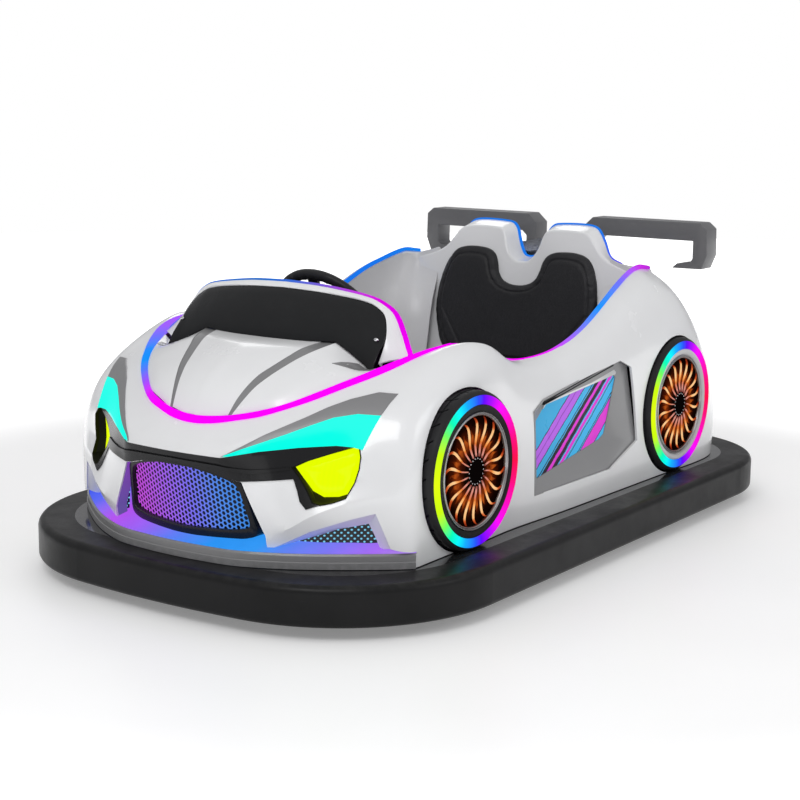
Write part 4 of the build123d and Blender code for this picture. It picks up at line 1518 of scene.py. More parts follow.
        # The cheek is white gelcoat drawn with a near-black base and a glow running from blue (left) or violet
        # (right) to dark deeper in: painted grille light over painted shade.
        grille_light_tint = (.02, .22, .75) if side is Side.LEFT else (.35, .06, .75)
        glow = AxisGlow(f"cheek_wash_{side.word}", ((0, grille_light_tint), (.6, (.1, .14, .42)), (1, (.03, .03, .06))), .55,
            (.35, .35, .37), (side.value * .16, side.value * .3))
        mouth = [hit + Vector((0, .0035, 0)) for hit in struck(tree, side, self.lower_rim)]
        inner = side.put(self.lower_hole)
        ribs = [blend(mouth, inner, share) for share in (0, .5, 1)] + [[(x, y + .02, z) for x, y, z in inner]]
        lower = sheet(ribs, inside, f"lower_cheek_{side.word}", .003)
        return [fit(cheek, glow, "body_gelcoat", angle=40), fit(lower, WHITE, "body_gelcoat", angle=30)]

    def lower(self, side: Side) -> Obj:
        """Builds the dotted plate behind one lower opening.

        Args:
            side: Which side.

        Returns:
            The plate.
        """
        path = side.put(evenly(self.dots, 24))
        rows = [[(x, y + back, z) for x, y, _ in path] for z, back in ((.15, 0), (.205, .004), (.245, .008))]
        plate = sheet(rows, (0, -1, 0), f"lower_mesh_{side.word}", .004)
        return fit(plate, DottedLight(f"lower_dots_{side.word}"), "black_gloss", f"lower_grille_{side.word}",
            angle=40)

    def build(self, skin: Obj) -> list[Obj]:
        """Builds the whole mouth into the body's outer face.

        Args:
            skin: The body's outer face.

        Returns:
            The mouth's pieces.
        """
        tree = tree_of(skin)
        pieces = [self.honeycomb(), *self.frame(), self.shelf(), self.skirt()]
        for side in Side:
            pieces += self.liner(tree, side)
        return [*pieces, *map(self.lower, Side)]


# ---- Bonnet and screen ----------------------------------------------------------------------


@dataclass
class Bonnet:
    """The bonnet between the nose light and the screen, with its grey bands and scoops.

    Its lines run from the screen to the nose, from the middle plane out to the light.
    """

    lines: tuple[Line, ...] = (
        ((0, -.596, .5635), (0, -.675, .558), (0, -.715, .547), (0, -.752, .5315), (0, -.787, .512),
         (0, -.815, .49), (0, -.838, .462), (0, -.858, .417)),
        ((.08, -.594, .565), (.074, -.671, .5565), (.068, -.71, .544), (.062, -.747, .528), (.055, -.781, .509),
         (.05, -.81, .487), (.046, -.833, .4595), (.042, -.855, .419)),
        ((.158, -.59, .5665), (.141, -.665, .554), (.13, -.702, .539), (.118, -.738, .522), (.106, -.772, .505),
         (.096, -.801, .482), (.087, -.825, .455), (.08, -.845, .424)),
        ((.194, -.588, .567), (.176, -.662, .552), (.159, -.698, .538), (.144, -.734, .521),
         (.129, -.768, .502), (.114, -.796, .481), (.101, -.821, .454), (.088, -.844, .424)),
        ((.246, -.59, .537), (.222, -.664, .537), (.202, -.701, .527), (.181, -.738, .5105),
         (.159, -.771, .493), (.138, -.8, .472), (.113, -.8235, .449), (.0895, -.844, .4235)),
        ((.296, -.592, .51), (.272, -.664, .52), (.246, -.704, .512), (.219, -.741, .4965), (.19, -.774, .48),
         (.16, -.803, .461), (.123, -.825, .4425), (.0905, -.844, .4233)),
        ((.336, -.59, .533), (.304, -.663, .512), (.278, -.707, .496), (.248, -.744, .479), (.215, -.776, .462),
         (.178, -.806, .446), (.132, -.826, .433), (.0915, -.844, .423)))
    scoop: Outline = ((.262, -.618), (.312, -.626), (.318, -.64), (.262, -.664), (.232, -.676))

    def half(self, rib: Sequence[Point]) -> list[Point]:
        """Draws the left half of a cross rib: the dome, the sunk band and the side down to the light.

        Args:
            rib: Where the rib crosses each of the bonnet's lines.

        Returns:
            The rib's points, from the middle out.
        """
        inner, outer = Vector(rib[2]), Vector(rib[3])
        sunk = Vector((0, 0, .0016 * min(1.0, (outer - inner).length / .02)))
        return flowing(rib[:3], 4) + [tuple(inner.lerp(outer, share) - sunk) for share in (.06, .94)] + flowing(
            rib[3:], 4)

    def build(self) -> list[Obj]:
        """Builds the bonnet with its bands and scoops."""
        ribs = [across_car(self.half(rib)) for rib in zip(*(flowing(line, 4) for line in self.lines))]
        bonnet = place(facing(lofted(ribs), (0, -.3, 1)), "bonnet")
        fit(bonnet, WHITE, "body_gelcoat", "hood")
        bonnet.data.materials.append(GREY.material())
        across = bonnet.data.attributes["across"].data
        for face in bonnet.data.polygons:
            spot = sum(across[v].value for v in face.vertices) / len(face.vertices)
            if 8 < abs(spot - .5) * (len(ribs[0]) - 1) < 11:
                face.material_index = 1
        smooth(wall(bonnet, .004), 24)
        tree = tree_of(bonnet)
        pieces = [bonnet]
        for side in Side:
            patch = prism(side.flat(self.scoop), View.TOP, (0.0, .003), f"scoop_{side.word}")
            with opened(patch) as bm:
                sliced(bm, [side.value * (.232 + .009 * k) for k in range(1, 10)])
                for vert in bm.verts:
                    hit = tree.ray_cast(Vector((vert.co.x, vert.co.y, 1)), Vector((0, 0, -1)))[0]
                    vert.co.z += (hit.z if hit else .51) - .0018
            pieces.append(fit(patch, GREY, "grey_trim", angle=30))
        return pieces


@dataclass
class NoseLight:
    """The light that runs round the nose from one end of the screen to the other."""

    outer: Line = ((0, -.878, .401), (.055, -.873, .4055), (.106, -.858, .415), (.162, -.835, .428),
        (.208, -.801, .442), (.25, -.765, .462), (.288, -.725, .483), (.322, -.678, .501), (.353, -.628, .52),
        (.376, -.571, .542), (.388, -.515, .555), (.398, -.455, .5595))
    inner: Line = ((0, -.856, .418), (.045, -.853, .4205), (.09, -.842, .425), (.134, -.824, .434),
        (.178, -.804, .447), (.215, -.775, .463), (.248, -.743, .48), (.278, -.706, .497), (.304, -.662, .513),
        (.332, -.592, .533), (.358, -.52, .5475), (.385, -.452, .559))

    def build(self) -> list[Obj]:
        """Builds the light."""
        outer, inner = ([Vector(p) + Vector((0, 0, .0035)) for p in evenly(flowing(across_car(half), 6), 120)]
            for half in (self.outer, self.inner))
        light = strip("nose_light", blend(outer, inner, .04), blend(outer, inner, .78), .01, .0015)
        stops = ((0, (.42, .09, 1)), (.08, (.36, .12, 1)), (.13, (.18, .17, 1)), (.19, (.02, .27, 1)),
            (.235, (.006, .3, 1)), (.27, (.09, .2, 1)), (.31, (.34, .09, 1)), (.36, (.8, .01, 1)),
            (.4, MAGENTA), (1, MAGENTA))
        return [fit(light, Glow("nose_light_colours", stops), "light_strip", "hood_light")]


@dataclass
class Screen:
    """The smoked screen, the white cowl round it, its light, its rivets and the dash behind."""

    foot: Line = ((0, -.63, .559), (.1, -.6245, .5625), (.189, -.61, .5665), (.22, -.611, .5515),
        (.246, -.612, .537), (.275, -.615, .5215), (.291, -.622, .511), (.2985, -.626, .507))
    head: Line = ((0, -.555, .669), (.1, -.5525, .6655), (.189, -.544, .657), (.22, -.5405, .652),
        (.246, -.539, .645), (.275, -.5405, .626), (.291, -.554, .6), (.2985, -.568, .574))
    rim: Line = ((0, -.545, .68), (.1, -.543, .6765), (.189, -.537, .6665), (.22, -.5345, .6615),
        (.247, -.5325, .6545), (.286, -.526, .63), (.311, -.528, .587), (.331, -.543, .5645),
        (.352, -.562, .54))

    def glass(self) -> Obj:
        """Builds the screen, bulged a little forwards."""
        bulge = [Vector((0, -.006, .002)) * math.sin(math.pi * k / 6) for k in range(7)]
        ribs = [[tuple(Vector(low).lerp(Vector(high), k / 6) + bulge[k]) for k in range(7)] for low,
            high in zip(flowing(self.foot, 5, (2,)), flowing(self.head, 5))]
        glass = rounded(sheet(both_halves(ribs), (0, -1, .4), "screen_glass", .0045), .0012, 50)
        return fit(glass, SMOKED, "black_gloss", "windscreen")

    def edge(self) -> tuple[list[Point], list[Point]]:
        """The glass's free edge and the cowl's light line, with as many points each."""
        glass = flowing([*self.head, (.299, -.584, .545), (.299, -.596, .526)], 5)
        return evenly(glass, 48), evenly(flowing([*self.rim, (.346, -.574, .5385)], 5), 48)

    def cowl(self) -> Obj:
        """Builds the white frame between the glass and its light."""
        places = ((0, .006, -.006), (0, -.0015, .0005), (.12, -.003, .002), (.5, -.003, .003),
            (.88, -.001, .002), (1, 0, 0))
        ribs = [[tuple(Vector(a).lerp(Vector(b), share) + Vector((0, y, z))) for share, y, z in places] for a,
            b in zip(*self.edge())]
        cowl = sheet(both_halves(ribs), (0, -1, .6), "screen_cowl", .004)
        return fit(cowl, WHITE, "body_gelcoat", "windscreen_frame", angle=40)

    def light(self) -> Obj:
        """Builds the light along the cowl's rim."""
        line = evenly(across_car(self.edge()[1]), 110)
        inner = []
        for x, y, z in line:
            out = min(1.0, abs(x) / .3) ** 3
            inner.append((x + math.copysign(.008 * out, x), y + .009, z + .0045 * (1 - out * .6)))
        light = strip("screen_light", [(x, y - .0005, z - .001) for x, y, z in line], inner, .005, .0012)
        stops = ((0, (.1, .16, .85)), (.2, (.03, .16, .65)), (.4, (.006, .17, .6)), (.52, (.05, .15, .7)),
            (.62, (.2, .1, .68)), (.72, (.55, .04, .75)), (.8, (.72, 0, .76)), (.9, (.85, 0, .88)),
            (1, MAGENTA))
        return fit(light, Glow("screen_light_colours", stops), "light_strip", "windscreen_light")

    def rivet(self, side: Side) -> Obj:
        """Builds the rivet at one end of the glass.

        Args:
            side: Which side.

        Returns:
            The rivet.
        """
        profile = ((0, 0, .0024), (.0025, 0, .0021), (.0043, 0, .001), (.0048, 0, -.001))
        bm = sealed(spun(profile, (0, 0, 0), (0, 0, 1), 20))
        bmesh.ops.scale(bm, verts=bm.verts, vec=(1.3, .8, 1))
        bmesh.ops.rotate(bm, verts=bm.verts, matrix=Matrix.Rotation(math.radians(68), 3, "X"))
        bmesh.ops.translate(bm, verts=bm.verts, vec=(side.value * .284, -.586, .577))
        return fit(place(bm, f"screen_rivet_{side.word}"), RIVET, "pedal_metal", angle=40)

    def dash(self) -> Obj:
        """Builds the dark dash from the screen's light down to the floor."""
        tops = across_car(self.edge()[1])
        rows = [[(x * .985, y + back, z - low) for x, y, z in tops] for back,
            low in ((.004, .008), (.022, .016))]
        rows += [[(x, -.5 + .02 * abs(x), max(.5, z - .075)) for x, y, z in tops],
            [(x * 1.08, -.478 + .02 * abs(x), .47 + .02 * abs(x)) for x, y, z in tops]]
        rows += [[(x * 1.1, y, z) for x, _, _ in tops] for y, z in ((-.492, .42), (-.5, .3), (-.5, DECK_TOP))]
        return fit(sheet(rows, (0, 1, .3), "dash_panel", .005), DARK, "black_gloss", angle=35)

    def build(self) -> list[Obj]:
        """Builds the whole screen."""
        return [self.glass(), self.cowl(), self.light(), *map(self.rivet, Side), self.dash()]


# ---- Cockpit --------------------------------------------------------------------------------


@dataclass
class Cockpit:
    """The tub, the backrest moulding with its two humps, and the lights along their edges."""

    foot: Flat = (.424, .3)
    recline: float = math.radians(11)
    low: Outline = ((.394, .2), (.394, 0), (.394, -.17), (.2, -.175), (0, -.175))
    front: Outline = ((0, .355), (.018, .357), (.036, .372), (.05, .397), (.058, .425), (.068, .441),
        (.084, .447), (.19, .446), (.208, .437), (.23, .412), (.25, .387), (.28, .368), (.33, .352),
        (.392, .334))
    back: Outline = ((0, .374), (.016, .378), (.03, .398), (.041, .424), (.052, .452), (.066, .466),
        (.086, .47), (.188, .4695), (.206, .46), (.228, .428), (.25, .388), (.285, .372), (.335, .366),
        (.385, .362))
    rail: Line = ((.3915, -.4535, .56), (.3995, -.42, .557), (.41, -.36, .5385), (.41, -.29, .516),
        (.41, -.21, .4975), (.41, -.09, .4935), (.41, 0, .5045), (.4095, .1, .533), (.406, .2, .578),
        (.396, .305, .6215), (.386, .376, .643), (.38, .43, .6565), (.3785, .472, .662), (.379, .508, .658),
        (.371, .535, .654))
    tub_top: Line = ((.396, -.5, .552), (.404, -.43, .552), (.404, -.36, .532), (.404, -.29, .509),
        (.404, -.21, .491), (.404, -.09, .487), (.404, 0, .498), (.403, .1, .526), (.4, .2, .571),
        (.391, .29, .612), (.382, .36, .634), (.375, .42, .648), (.366, .465, .6515), (.345, .489, .648),
        (.318, .494, .655), (.292, .4965, .662), (.275, .4985, .668))
    tub_low: Outline = ((.396, -.5), (.402, -.43), (.401, -.36), (.4, -.29), (.4, -.21), (.4, -.09), (.4, 0),
        (.4, .09), (.398, .17), (.392, .24), (.381, .3), (.366, .35), (.345, .392), (.321, .42), (.298, .436),
        (.279, .444), (.262, .448))

    def lay(self, x: float, h: float, d: float = 0.0) -> Point:
        """Places a point of the backrest.

        Args:
            x: Its place across the car.
            h: Its height along the reclined back.
            d: Its depth behind the front face.

        Returns:
            The point.
        """
        s, c = math.sin(self.recline), math.cos(self.recline)
        return (x, self.foot[0] + h * s + d * c, self.foot[1] + h * c - d * s)

    def ring(self, shape: Sequence[Flat], shrink: float, depth: float) -> list[Point]:
        """Draws a closed outline of the backrest, shrunk a little, at a depth.

        Args:
            shape: The left half, from the middle of the top to the middle of the foot.
            shrink: How far it is pulled in.
            depth: Its depth behind the front face.

        Returns:
            The outline's points.
        """
        half, last = [], len(shape) - 1
        for i, (x, h) in enumerate(shape):
            way = (Vector(shape[min(i + 1, last)]) - Vector(shape[max(i - 1, 0)])).normalized()
            x += shrink * way.y * (0 < i < last)
            half.append(self.lay(max(x, 0), h - shrink * way.x * (i < last), depth))
        return half + Side.RIGHT.put(half[-2:0:-1])

    def moulding(self) -> Obj:
        """Builds the backrest moulding as a closed, round-edged slab."""
        fronts, backs = (evenly(flowing(top, 5, (13,)), 90)[:-2] + evenly([top[-1], *self.low], 24)[1:]
            for top in (self.front, self.back))
        steps = ((0, .0085, 0), (0, .0045, .001), (0, .0015, .0035), (0, 0, .008), (.33, 0, .022), (.7, 0, .04),
            (1, 0, .0555), (1, .0012, .059), (1, .004, .0605), (1, .03, .061))
        ribs = [self.ring(blend(fronts, backs, share), shrink, depth) for share, shrink, depth in steps]
        shell = place(sealed(lofted(ribs, closed=True)), "backrest_moulding")
        return fit(shell, WHITE, "body_gelcoat", "seat_backrest", angle=34)

    def flank(self, side: Side) -> Obj:
        """Builds one side wall of the tub, which curves in to meet the backrest.

        Args:
            side: Which side.

        Returns:
            The wall.
        """
        ribs = []
        lows = flowing([(x, y, 0) for x, y in self.tub_low], 3)
        for (x, y, z), (low_x, low_y, _) in zip(flowing(self.tub_top, 3), lows):
            lean = max(0.0, min(1.0, (low_y - .28) / .14))
            rib = [(x + .005, y, z + .0015)]
            for share in (.004, .03, .07, .12, .18, .26, .36, .5, .65, .82, 1):
                height = z + (DECK_TOP - z) * share
                ease = min(1.0, share / .3)
                ease = ease * ease * (3 - 2 * ease)
                back = (height - .56) * math.tan(self.recline) * lean
                rib.append((x + (low_x - x) * ease, y + (low_y + back - y) * ease, height))
            ribs.append(side.put(rib))
        flank = sheet(ribs, (-side.value, -.3, 0), f"tub_side_{side.word}", .005)
        # The tub walls take the darker gelcoat copy: painted shade inside the cockpit.
        return fit(flank, INNER_PAINTED_SHADE, "body_gelcoat", angle=40)

    def rail_light(self, side: Side) -> Obj:
        """Builds the light along one cockpit rail.

        Args:
            side: Which side.

        Returns:
            The light.
        """
        line = side.put(evenly(flowing(self.rail, 5), 90))
        outer, inner = [], []
        for i, p in enumerate(map(Vector, line)):
            way = Vector(line[min(i + 1, 89)]) - Vector(line[max(i - 1, 0)])
            out = Vector((way.y, -way.x, 0)).normalized() * side.value
            if out.x * side.value < 0 and i < 70:
                out = -out
            outer.append(p + out * .0065 - Vector((0, 0, .0005)))
            inner.append(p - out * .0065 + Vector((0, 0, .002)))
        if side is Side.RIGHT:
            stops = ((0, MAGENTA), (.3, MAGENTA), (.45, (.2, .1, 1)), (.55, (.01, .18, .85)),
                (.8, (.008, .18, .85)), (1, (.01, .22, .85)))
        else:
            stops = ((0, MAGENTA), (.22, MAGENTA), (.31, MAGENTA), (.4, (.85, .02, 1)), (.46, (.55, .08, 1)),
                (.53, (.28, .17, 1)), (.6, (.1, .25, 1)), (.66, (.01, .3, 1)), (.72, (.06, .27, 1)),
                (.8, (.18, .17, 1)), (.87, (.42, .12, 1)), (.93, (.6, .03, .8)), (1, (.45, .02, .65)))
        rail = strip(f"rail_light_strip_{side.word}", outer, inner, .008, .0015)
        return fit(rail, Glow(f"rail_colours_{side.word}", stops), "light_strip", f"rail_light_{side.word}")

    def head_light(self) -> Obj:
        """Builds the light over the headrests."""
        half = evenly(flowing(self.back[:12], 6), 70)
        path = Side.RIGHT.flat(half[:0:-1]) + half
        edges = ([self.lay(x, h + .0012, depth) for x, h in path] for depth in (.0475, .0595))
        stops = ((0, (.012, .19, .8)), (.85, (.012, .19, .8)), (.94, (.05, .12, .85)), (1, (.12, .08, .8)))
        light = strip("headrest_light_strip", *edges, .004, .0008)
        return fit(light, Glow("headrest_colours", stops), "light_strip", "headrest_light")

    def build(self) -> list[Obj]:
        """Builds the whole cockpit."""
        return [self.moulding(), *map(self.flank, Side), *map(self.rail_light, Side), self.head_light()]


@dataclass
class Cushions:
    """The back pad and the seat pad, blown up as cloth and then sewn."""

    cockpit: Cockpit = field(default_factory=Cockpit)
    voxel: float = .005
    swell: float = .006
    border: Flat = (.024, .03)
    back_half: Outline = ((0, .29), (.022, .292), (.05, .303), (.066, .326), (.073, .349), (.086, .373),
        (.107, .385), (.14, .389), (.177, .387), (.21, .377), (.231, .355), (.248, .314), (.257, .265),
        (.259, .208), (.246, .15), (.23, .108), (.205, .08), (.15, .066), (0, .06))
    seat_half: Outline = ((0, .084), (.18, .082), (.3, .086), (.345, .098), (.366, .13), (.372, .22),
        (.366, .33), (.34, .372), (.28, .384), (0, .386))

    def blow(self, shape: Obj, pressure: float) -> Obj:
        """Swells a closed shape as padded cloth, each point by no more than the pads' swell.

        Args:
            shape: The closed starting shape.
            pressure: The pressure inside.

        Returns:
            The same piece, swollen.
        """
        remesh = shape.modifiers.new("even", "REMESH")
        remesh.mode, remesh.voxel_size = "VOXEL", self.voxel
        settle(shape)
        before = [v.co.copy() for v in shape.data.vertices]
        cloth = shape.modifiers.new("cloth", "CLOTH")
        cloth.settings.use_pressure = True
        cloth.settings.uniform_pressure_force = pressure
        cloth.settings.effector_weights.gravity = 0
        cloth.settings.quality = 4
        cloth.settings.mass = .3
        cloth.point_cache.frame_start, cloth.point_cache.frame_end = 1, 20
        for step in range(1, 21):
            bpy.context.scene.frame_set(step)
        settle(shape)
        bpy.context.scene.frame_set(1)
        for vert, old in zip(shape.data.vertices, before):
            move = vert.co - old
            if move.length > self.swell:
                vert.co = old + move.normalized() * self.swell
        smoothing = shape.modifiers.new("fine", "SUBSURF")
        smoothing.levels = smoothing.render_levels = 1
        return settle(shape)

    def offset(self, outline: Sequence[Flat], inset: float) -> list[Flat]:
        """Moves a closed outline inwards.

        Args:
            outline: The outline, either way round.
            inset: How far.

        Returns:
            The moved outline.
        """
        area = sum(a[0] * b[1] - b[0] * a[1] for a, b in zip(outline, [*outline[1:], outline[0]]))
        push = math.copysign(inset, area)
        moved = []
        for i, p in enumerate(outline):
            way = (Vector(outline[(i + 1) % len(outline)]) - Vector(outline[i - 1])).normalized()
            moved.append((p[0] - way.y * push, p[1] + way.x * push))
        return moved

    def near(self, point: Flat, line: Sequence[Flat]) -> float:
        """How far a flat point is from a closed line.

        Args:
            point: The point.
            line: The line's corners.

        Returns:
            The distance.
        """
        best, here = 1.0, Vector(point)
        for one, two in zip(map(Vector, line), map(Vector, [*line[1:], line[0]])):
            span = two - one
            share = min(1, max(0, (here - one).dot(span) / max(span.length_squared, 1e-12)))
            best = min(best, (here - (one + span * share)).length)
        return best

    def solid(self, outline: Sequence[Flat], put: Callable[[float, float, float], Point], thick: float,
            name: str) -> Obj:
        """Pushes a flat outline into a round-edged slab.

        Args:
            outline: The outline on the pad's plane.
            put: Places (a, b, depth) in the car.
            thick: The slab's thickness.
            name: Its name.

        Returns:
            The slab.
        """
        rings = ((.01, thick), (.003, thick - .003), (0, thick - .01), (0, .004), (.004, 0))
        ribs = [[put(a, b, depth) for a, b in (self.offset(outline, inset) if inset else outline)] for inset,
            depth in rings]
        return place(sealed(lofted(ribs, closed=True)), name)

    def sew(self, pad: Obj, flat: Callable[[Vector], Flat], normal: Vector,
            lines: Sequence[tuple[Sequence[Flat], float, float]]) -> None:
        """Presses sewn channels into the front of a pad.

        Args:
            pad: The pad.
            flat: Gives a point's place on the pad's plane.
            normal: The way that the pad's front faces.
            lines: The (line, depth, width) of every channel.
        """
        pad.data.update()
        for vert, front in zip(pad.data.vertices, [v.normal.dot(normal) for v in pad.data.vertices]):
            if front < .2:
                continue
            here, press = flat(vert.co), 0.0
            for line, depth, width in lines:
                away = self.near(here, line)
                if away < width * 3:
                    press = max(press, depth * math.exp(-(away / width) ** 2))
            vert.co -= normal * press * min(1, front * 1.4)

    def thread(self, seam: Sequence[Flat], put: Callable[[float, float], Point], name: str) -> Obj:
        """Lays short stitches along a closed seam.

        Args:
            seam: The seam on the pad's plane.
            put: Places a point of the seam in the car.
            name: The stitches' name.

        Returns:
            The stitches as one piece.
        """
        closed = [*seam, seam[0]]
        count = int(sum((Vector(b) - Vector(a)).length for a, b in zip(closed, closed[1:])) / .006)
        spots = [Vector(put(*p)) for p in evenly(closed, count * 2 + 1)]
        bm = bmesh.new()
        for a, b in zip(spots[:-1:2], spots[1::2]):
            way = (b - a) * 1.25
            if way.length > 1e-5:
                made = bmesh.ops.create_cone(bm, cap_ends=True, segments=5, radius1=.0005, radius2=.0005,
                    depth=way.length)
                turn = way.to_track_quat("Z", "Y").to_matrix().to_4x4()
                bmesh.ops.transform(bm, matrix=Matrix.Translation(a + way / 2) @ turn, verts=made["verts"])
        return place(bm, name)

    def back_pad(self) -> list[Obj]:
        """Builds the back pad with its sewn border."""
        half = evenly(flowing(self.back_half, 5), 90)
        outline = half + Side.RIGHT.flat(half[-2:0:-1])
        lay = self.cockpit.lay
        pad = self.blow(self.solid(outline, lambda a, b, d: lay(a, b, .01 - d), .026, "back_pad"), 1.6)
        root = Vector(lay(0, 0, 0))
        normal, up = Vector(lay(0, 0, -1)) - root, Vector(lay(0, 1, 0)) - root
        seam = self.offset(outline, self.border[0])
        folds = [[(s * .232, .215), (s * .15, .1), (s * .05, .078), (s * .15, .1)] for s in (1, -1)]
        self.sew(pad, lambda p: (p.x, (p - root).dot(up)), normal,
            [(seam, .003, .0032), *((f, .0022, .004) for f in folds)])
        tree = tree_of(pad)

        def on(a: float, b: float) -> Point:
            """A seam point on the pad's face."""
            return tree.ray_cast(Vector(lay(a, b, -.08)), -normal)[0] + normal * .0002

        return [pad, self.thread(seam, on, "back_pad_stitches")]

    def seat_pad(self) -> list[Obj]:
        """Builds the seat pad, hollowed at both places, with a channel between them."""
        half = evenly(flowing(self.seat_half, 5), 70)
        outline = half + Side.RIGHT.flat(half[-2:0:-1])
        pad = self.blow(self.solid(outline, lambda a, b, d: (a, b, .301 + d), .036, "seat_pad"), 1.4)
        for vert in pad.data.vertices:
            if vert.co.z > .315:
                hollow = max(0, 1 - ((abs(vert.co.x) - .19) / .14) ** 2) * max(0,
                    1 - ((vert.co.y - .25) / .13) ** 2)
                vert.co.z -= .01 * hollow
        channels = [(self.offset(outline, self.border[1]), .003, .0032),
            ([(0, .1), (0, .24), (0, .372), (0, .24)], .006, .005)]
        channels += [([(s * .05, y), (s * .33, y), (s * .33, y + .0001)], .003, .004) for y in (.185, .285)
            for s in (1, -1)]
        self.sew(pad, lambda p: (p.x, p.y), Vector((0, 0, 1)), channels)
        return [pad]

    def build(self) -> list[Obj]:
        """Builds both pads."""
        pieces = []
        for (pad, *stitches), node, fill in ((self.back_pad(), "back_cushion", .7),
                (self.seat_pad(), "seat_cushion", .65)):
            fit(pad, VINYL, "seat_vinyl", node, angle=60)
            pieces += [pad, *(fit(piece, THREAD, "seat_vinyl", angle=40) for piece in stitches)]
        return pieces


# ---- Show wheels ----------------------------------------------------------------------------


def round_line(count: int, start: float = 0.0) -> list[float]:
    """Spaces a number of angles evenly round a full turn."""
    return [start + FULL_TURN * k / count for k in range(count)]


@dataclass
class ShowWheel:
    """One decorative lit wheel in its arch: tyre, light ring, rim line, dark disc and flame spokes."""

    side: Side
    end: str
    centre: Flat
    spokes: int = 18
    scale: float = .986
    steps: int = 216
    groove_every: int = 8
    groove_depth: float = .0045
    groove_lean: float = -3.5
    tread: Flat = (.431, .4895)
    spoke_shape: Line = ((.034, 0, .0012), (.046, .3, .0014), (.058, 1.2, .0017), (.07, 3.2, .0023),
        (.08, 4.8, .0031), (.09, 5.8, .0034), (.1, 5.9, .0033), (.108, 5, .0031), (.114, 3.4, .0028),
        (.119, 1.2, .0022), (.123, -1.4, .0012))
    # Radius and half width of each mark of painted spoke glow on the disc.
    spill_glow_shape: Outline = ((.058, .0008), (.066, .0042), (.074, .0056), (.082, .004), (.092, .0014),
        (.097, .0004))

    def named(self, word: str) -> str:
        """Adds the wheel's place to a name."""
        return f"{word}_{self.end}_{self.side.word}"

    def at(self, radius: float, turn: float, x: float) -> Point:
        """Places a point round the axle, anticlockwise as seen from the car's left."""
        radius *= self.scale
        return (self.side.value * x, self.centre[0] + radius * math.cos(turn), self.centre[1] + radius
            * math.sin(turn))

    def round(self, profile: Sequence[Flat], name: str, steps: int = 96) -> Obj:
        """Turns a (radius, x) profile about the axle."""
        scaled_profile = [(r * self.scale, x) for r, x in profile]
        return turned(scaled_profile, (0, *self.centre), self.named(name), steps, self.side.value)

    def tyre(self) -> Obj:
        """Builds the tyre, with slanted grooves pressed into its tread."""
        profile = [(.15, .43), (.172, .43), (.1785, .4312)]
        profile += [(.1775 if x in (.4505, .4765) else .18, x) for x in (.43, .44, .45, .4505, .46, .468, .476,
            .4765, .484, .49)]
        profile += [(.1795, .4935), (.178, .497), (.1758, .4998), (.1738, .5012), (.1725, .5022),
            (.1705, .5035), (.15, .503), (.15, .49)]
        middle = Vector((0, *self.centre))
        wire = [(self.side.value * x, middle.y, middle.z + r * self.scale) for r, x in profile]
        bm = outward(spun(wire, middle, (1, 0, 0), self.steps, closed=True))
        grooves = []
        for face in bm.faces:
            spot = face.calc_center_median() - middle
            if spot.yz.length > .1765 * self.scale and self.tread[0] < abs(spot.x) < self.tread[1]:
                turn = math.atan2(spot.z, spot.y) / FULL_TURN * self.steps
                if int(turn + self.steps) % self.groove_every == 0:
                    grooves.append(face)
        bmesh.ops.inset_region(bm, faces=grooves, thickness=.0004, depth=0, use_even_offset=True,
            use_boundary=True)
        for vert in {v for f in grooves for v in f.verts}:
            vert.co -= Vector((0, *(vert.co - middle).yz)).normalized() * self.groove_depth
        for vert in bm.verts:
            lean = Matrix.Rotation(self.groove_lean * min(max(abs(vert.co.x) - self.tread[0], 0), .06), 3, "X")
            vert.co = middle + lean @ (vert.co - middle)
        tyre = place(bm, self.named("tyre_body"))
        return fit(tyre, TYRE, "show_tyre", self.named("tyre"), angle=28)

    def ring(self) -> Obj:
        """Builds the rainbow light ring."""
        profile = ((.1702, .5), (.1708, .505), (.1698, .5066), (.167, .5078), (.16, .5082), (.153, .5078),
            (.1508, .5064), (.1498, .504), (.1498, .498), (.1702, .5))
        stops = ((0, (.78, 1, 0)), (.13, (.6, 1, 0)), (.21, (.16, 1, .12)), (.27, (0, 1, .45)),
            (.34, (0, .95, 1)), (.4, (.005, .42, 1)), (.49, (.02, .08, 1)), (.53, (.1, 0, 1)),
            (.6, (.42, 0, 1)), (.68, (1, 0, 1)), (.8, (1, 0, .52)), (.9, (1, 0, .2)), (1, (1, 0, .06)))
        glow = RingGlow(f"ring_colours_{self.end}", stops, 1.0, (.05, .05, .06), self.centre)
        return fit(self.round(profile, "ring_light", 144), glow, "wheel_light", self.named("wheel_light"),
            angle=40)

    def rim(self) -> list[Obj]:
        """Builds the flat band inside the ring, the bright rim line and the dark disc."""
        band = self.round(((.1502, .49), (.1502, .503), (.149, .5042), (.147, .5044), (.14, .5032),
            (.1345, .5018), (.1325, .5), (.1325, .49), (.1502, .49)), "rim_band")
        line = self.round(((.133, .49), (.133, .5022), (.1322, .5036), (.1312, .5038), (.1302, .5026),
            (.1298, .5014), (.1285, .5026), (.127, .503), (.1258, .5022), (.125, .5002), (.1246, .496),
            (.124, .49), (.133, .49)), "rim_line")
        disc = self.round(((.1246, .4962), (.1, .4945), (.06, .4945), (.036, .497), (.031, .5005),
            (.024, .5022), (.012, .5032), (.0005, .5035), (.0005, .49), (.1246, .49), (.1246, .4962)), "disc")
        with opened(disc) as bm:
            heart = [v for v in bm.verts if (v.co.yz - Vector(self.centre)).length < .001]
            bmesh.ops.remove_doubles(bm, verts=heart, dist=.002)
            outward(bm)
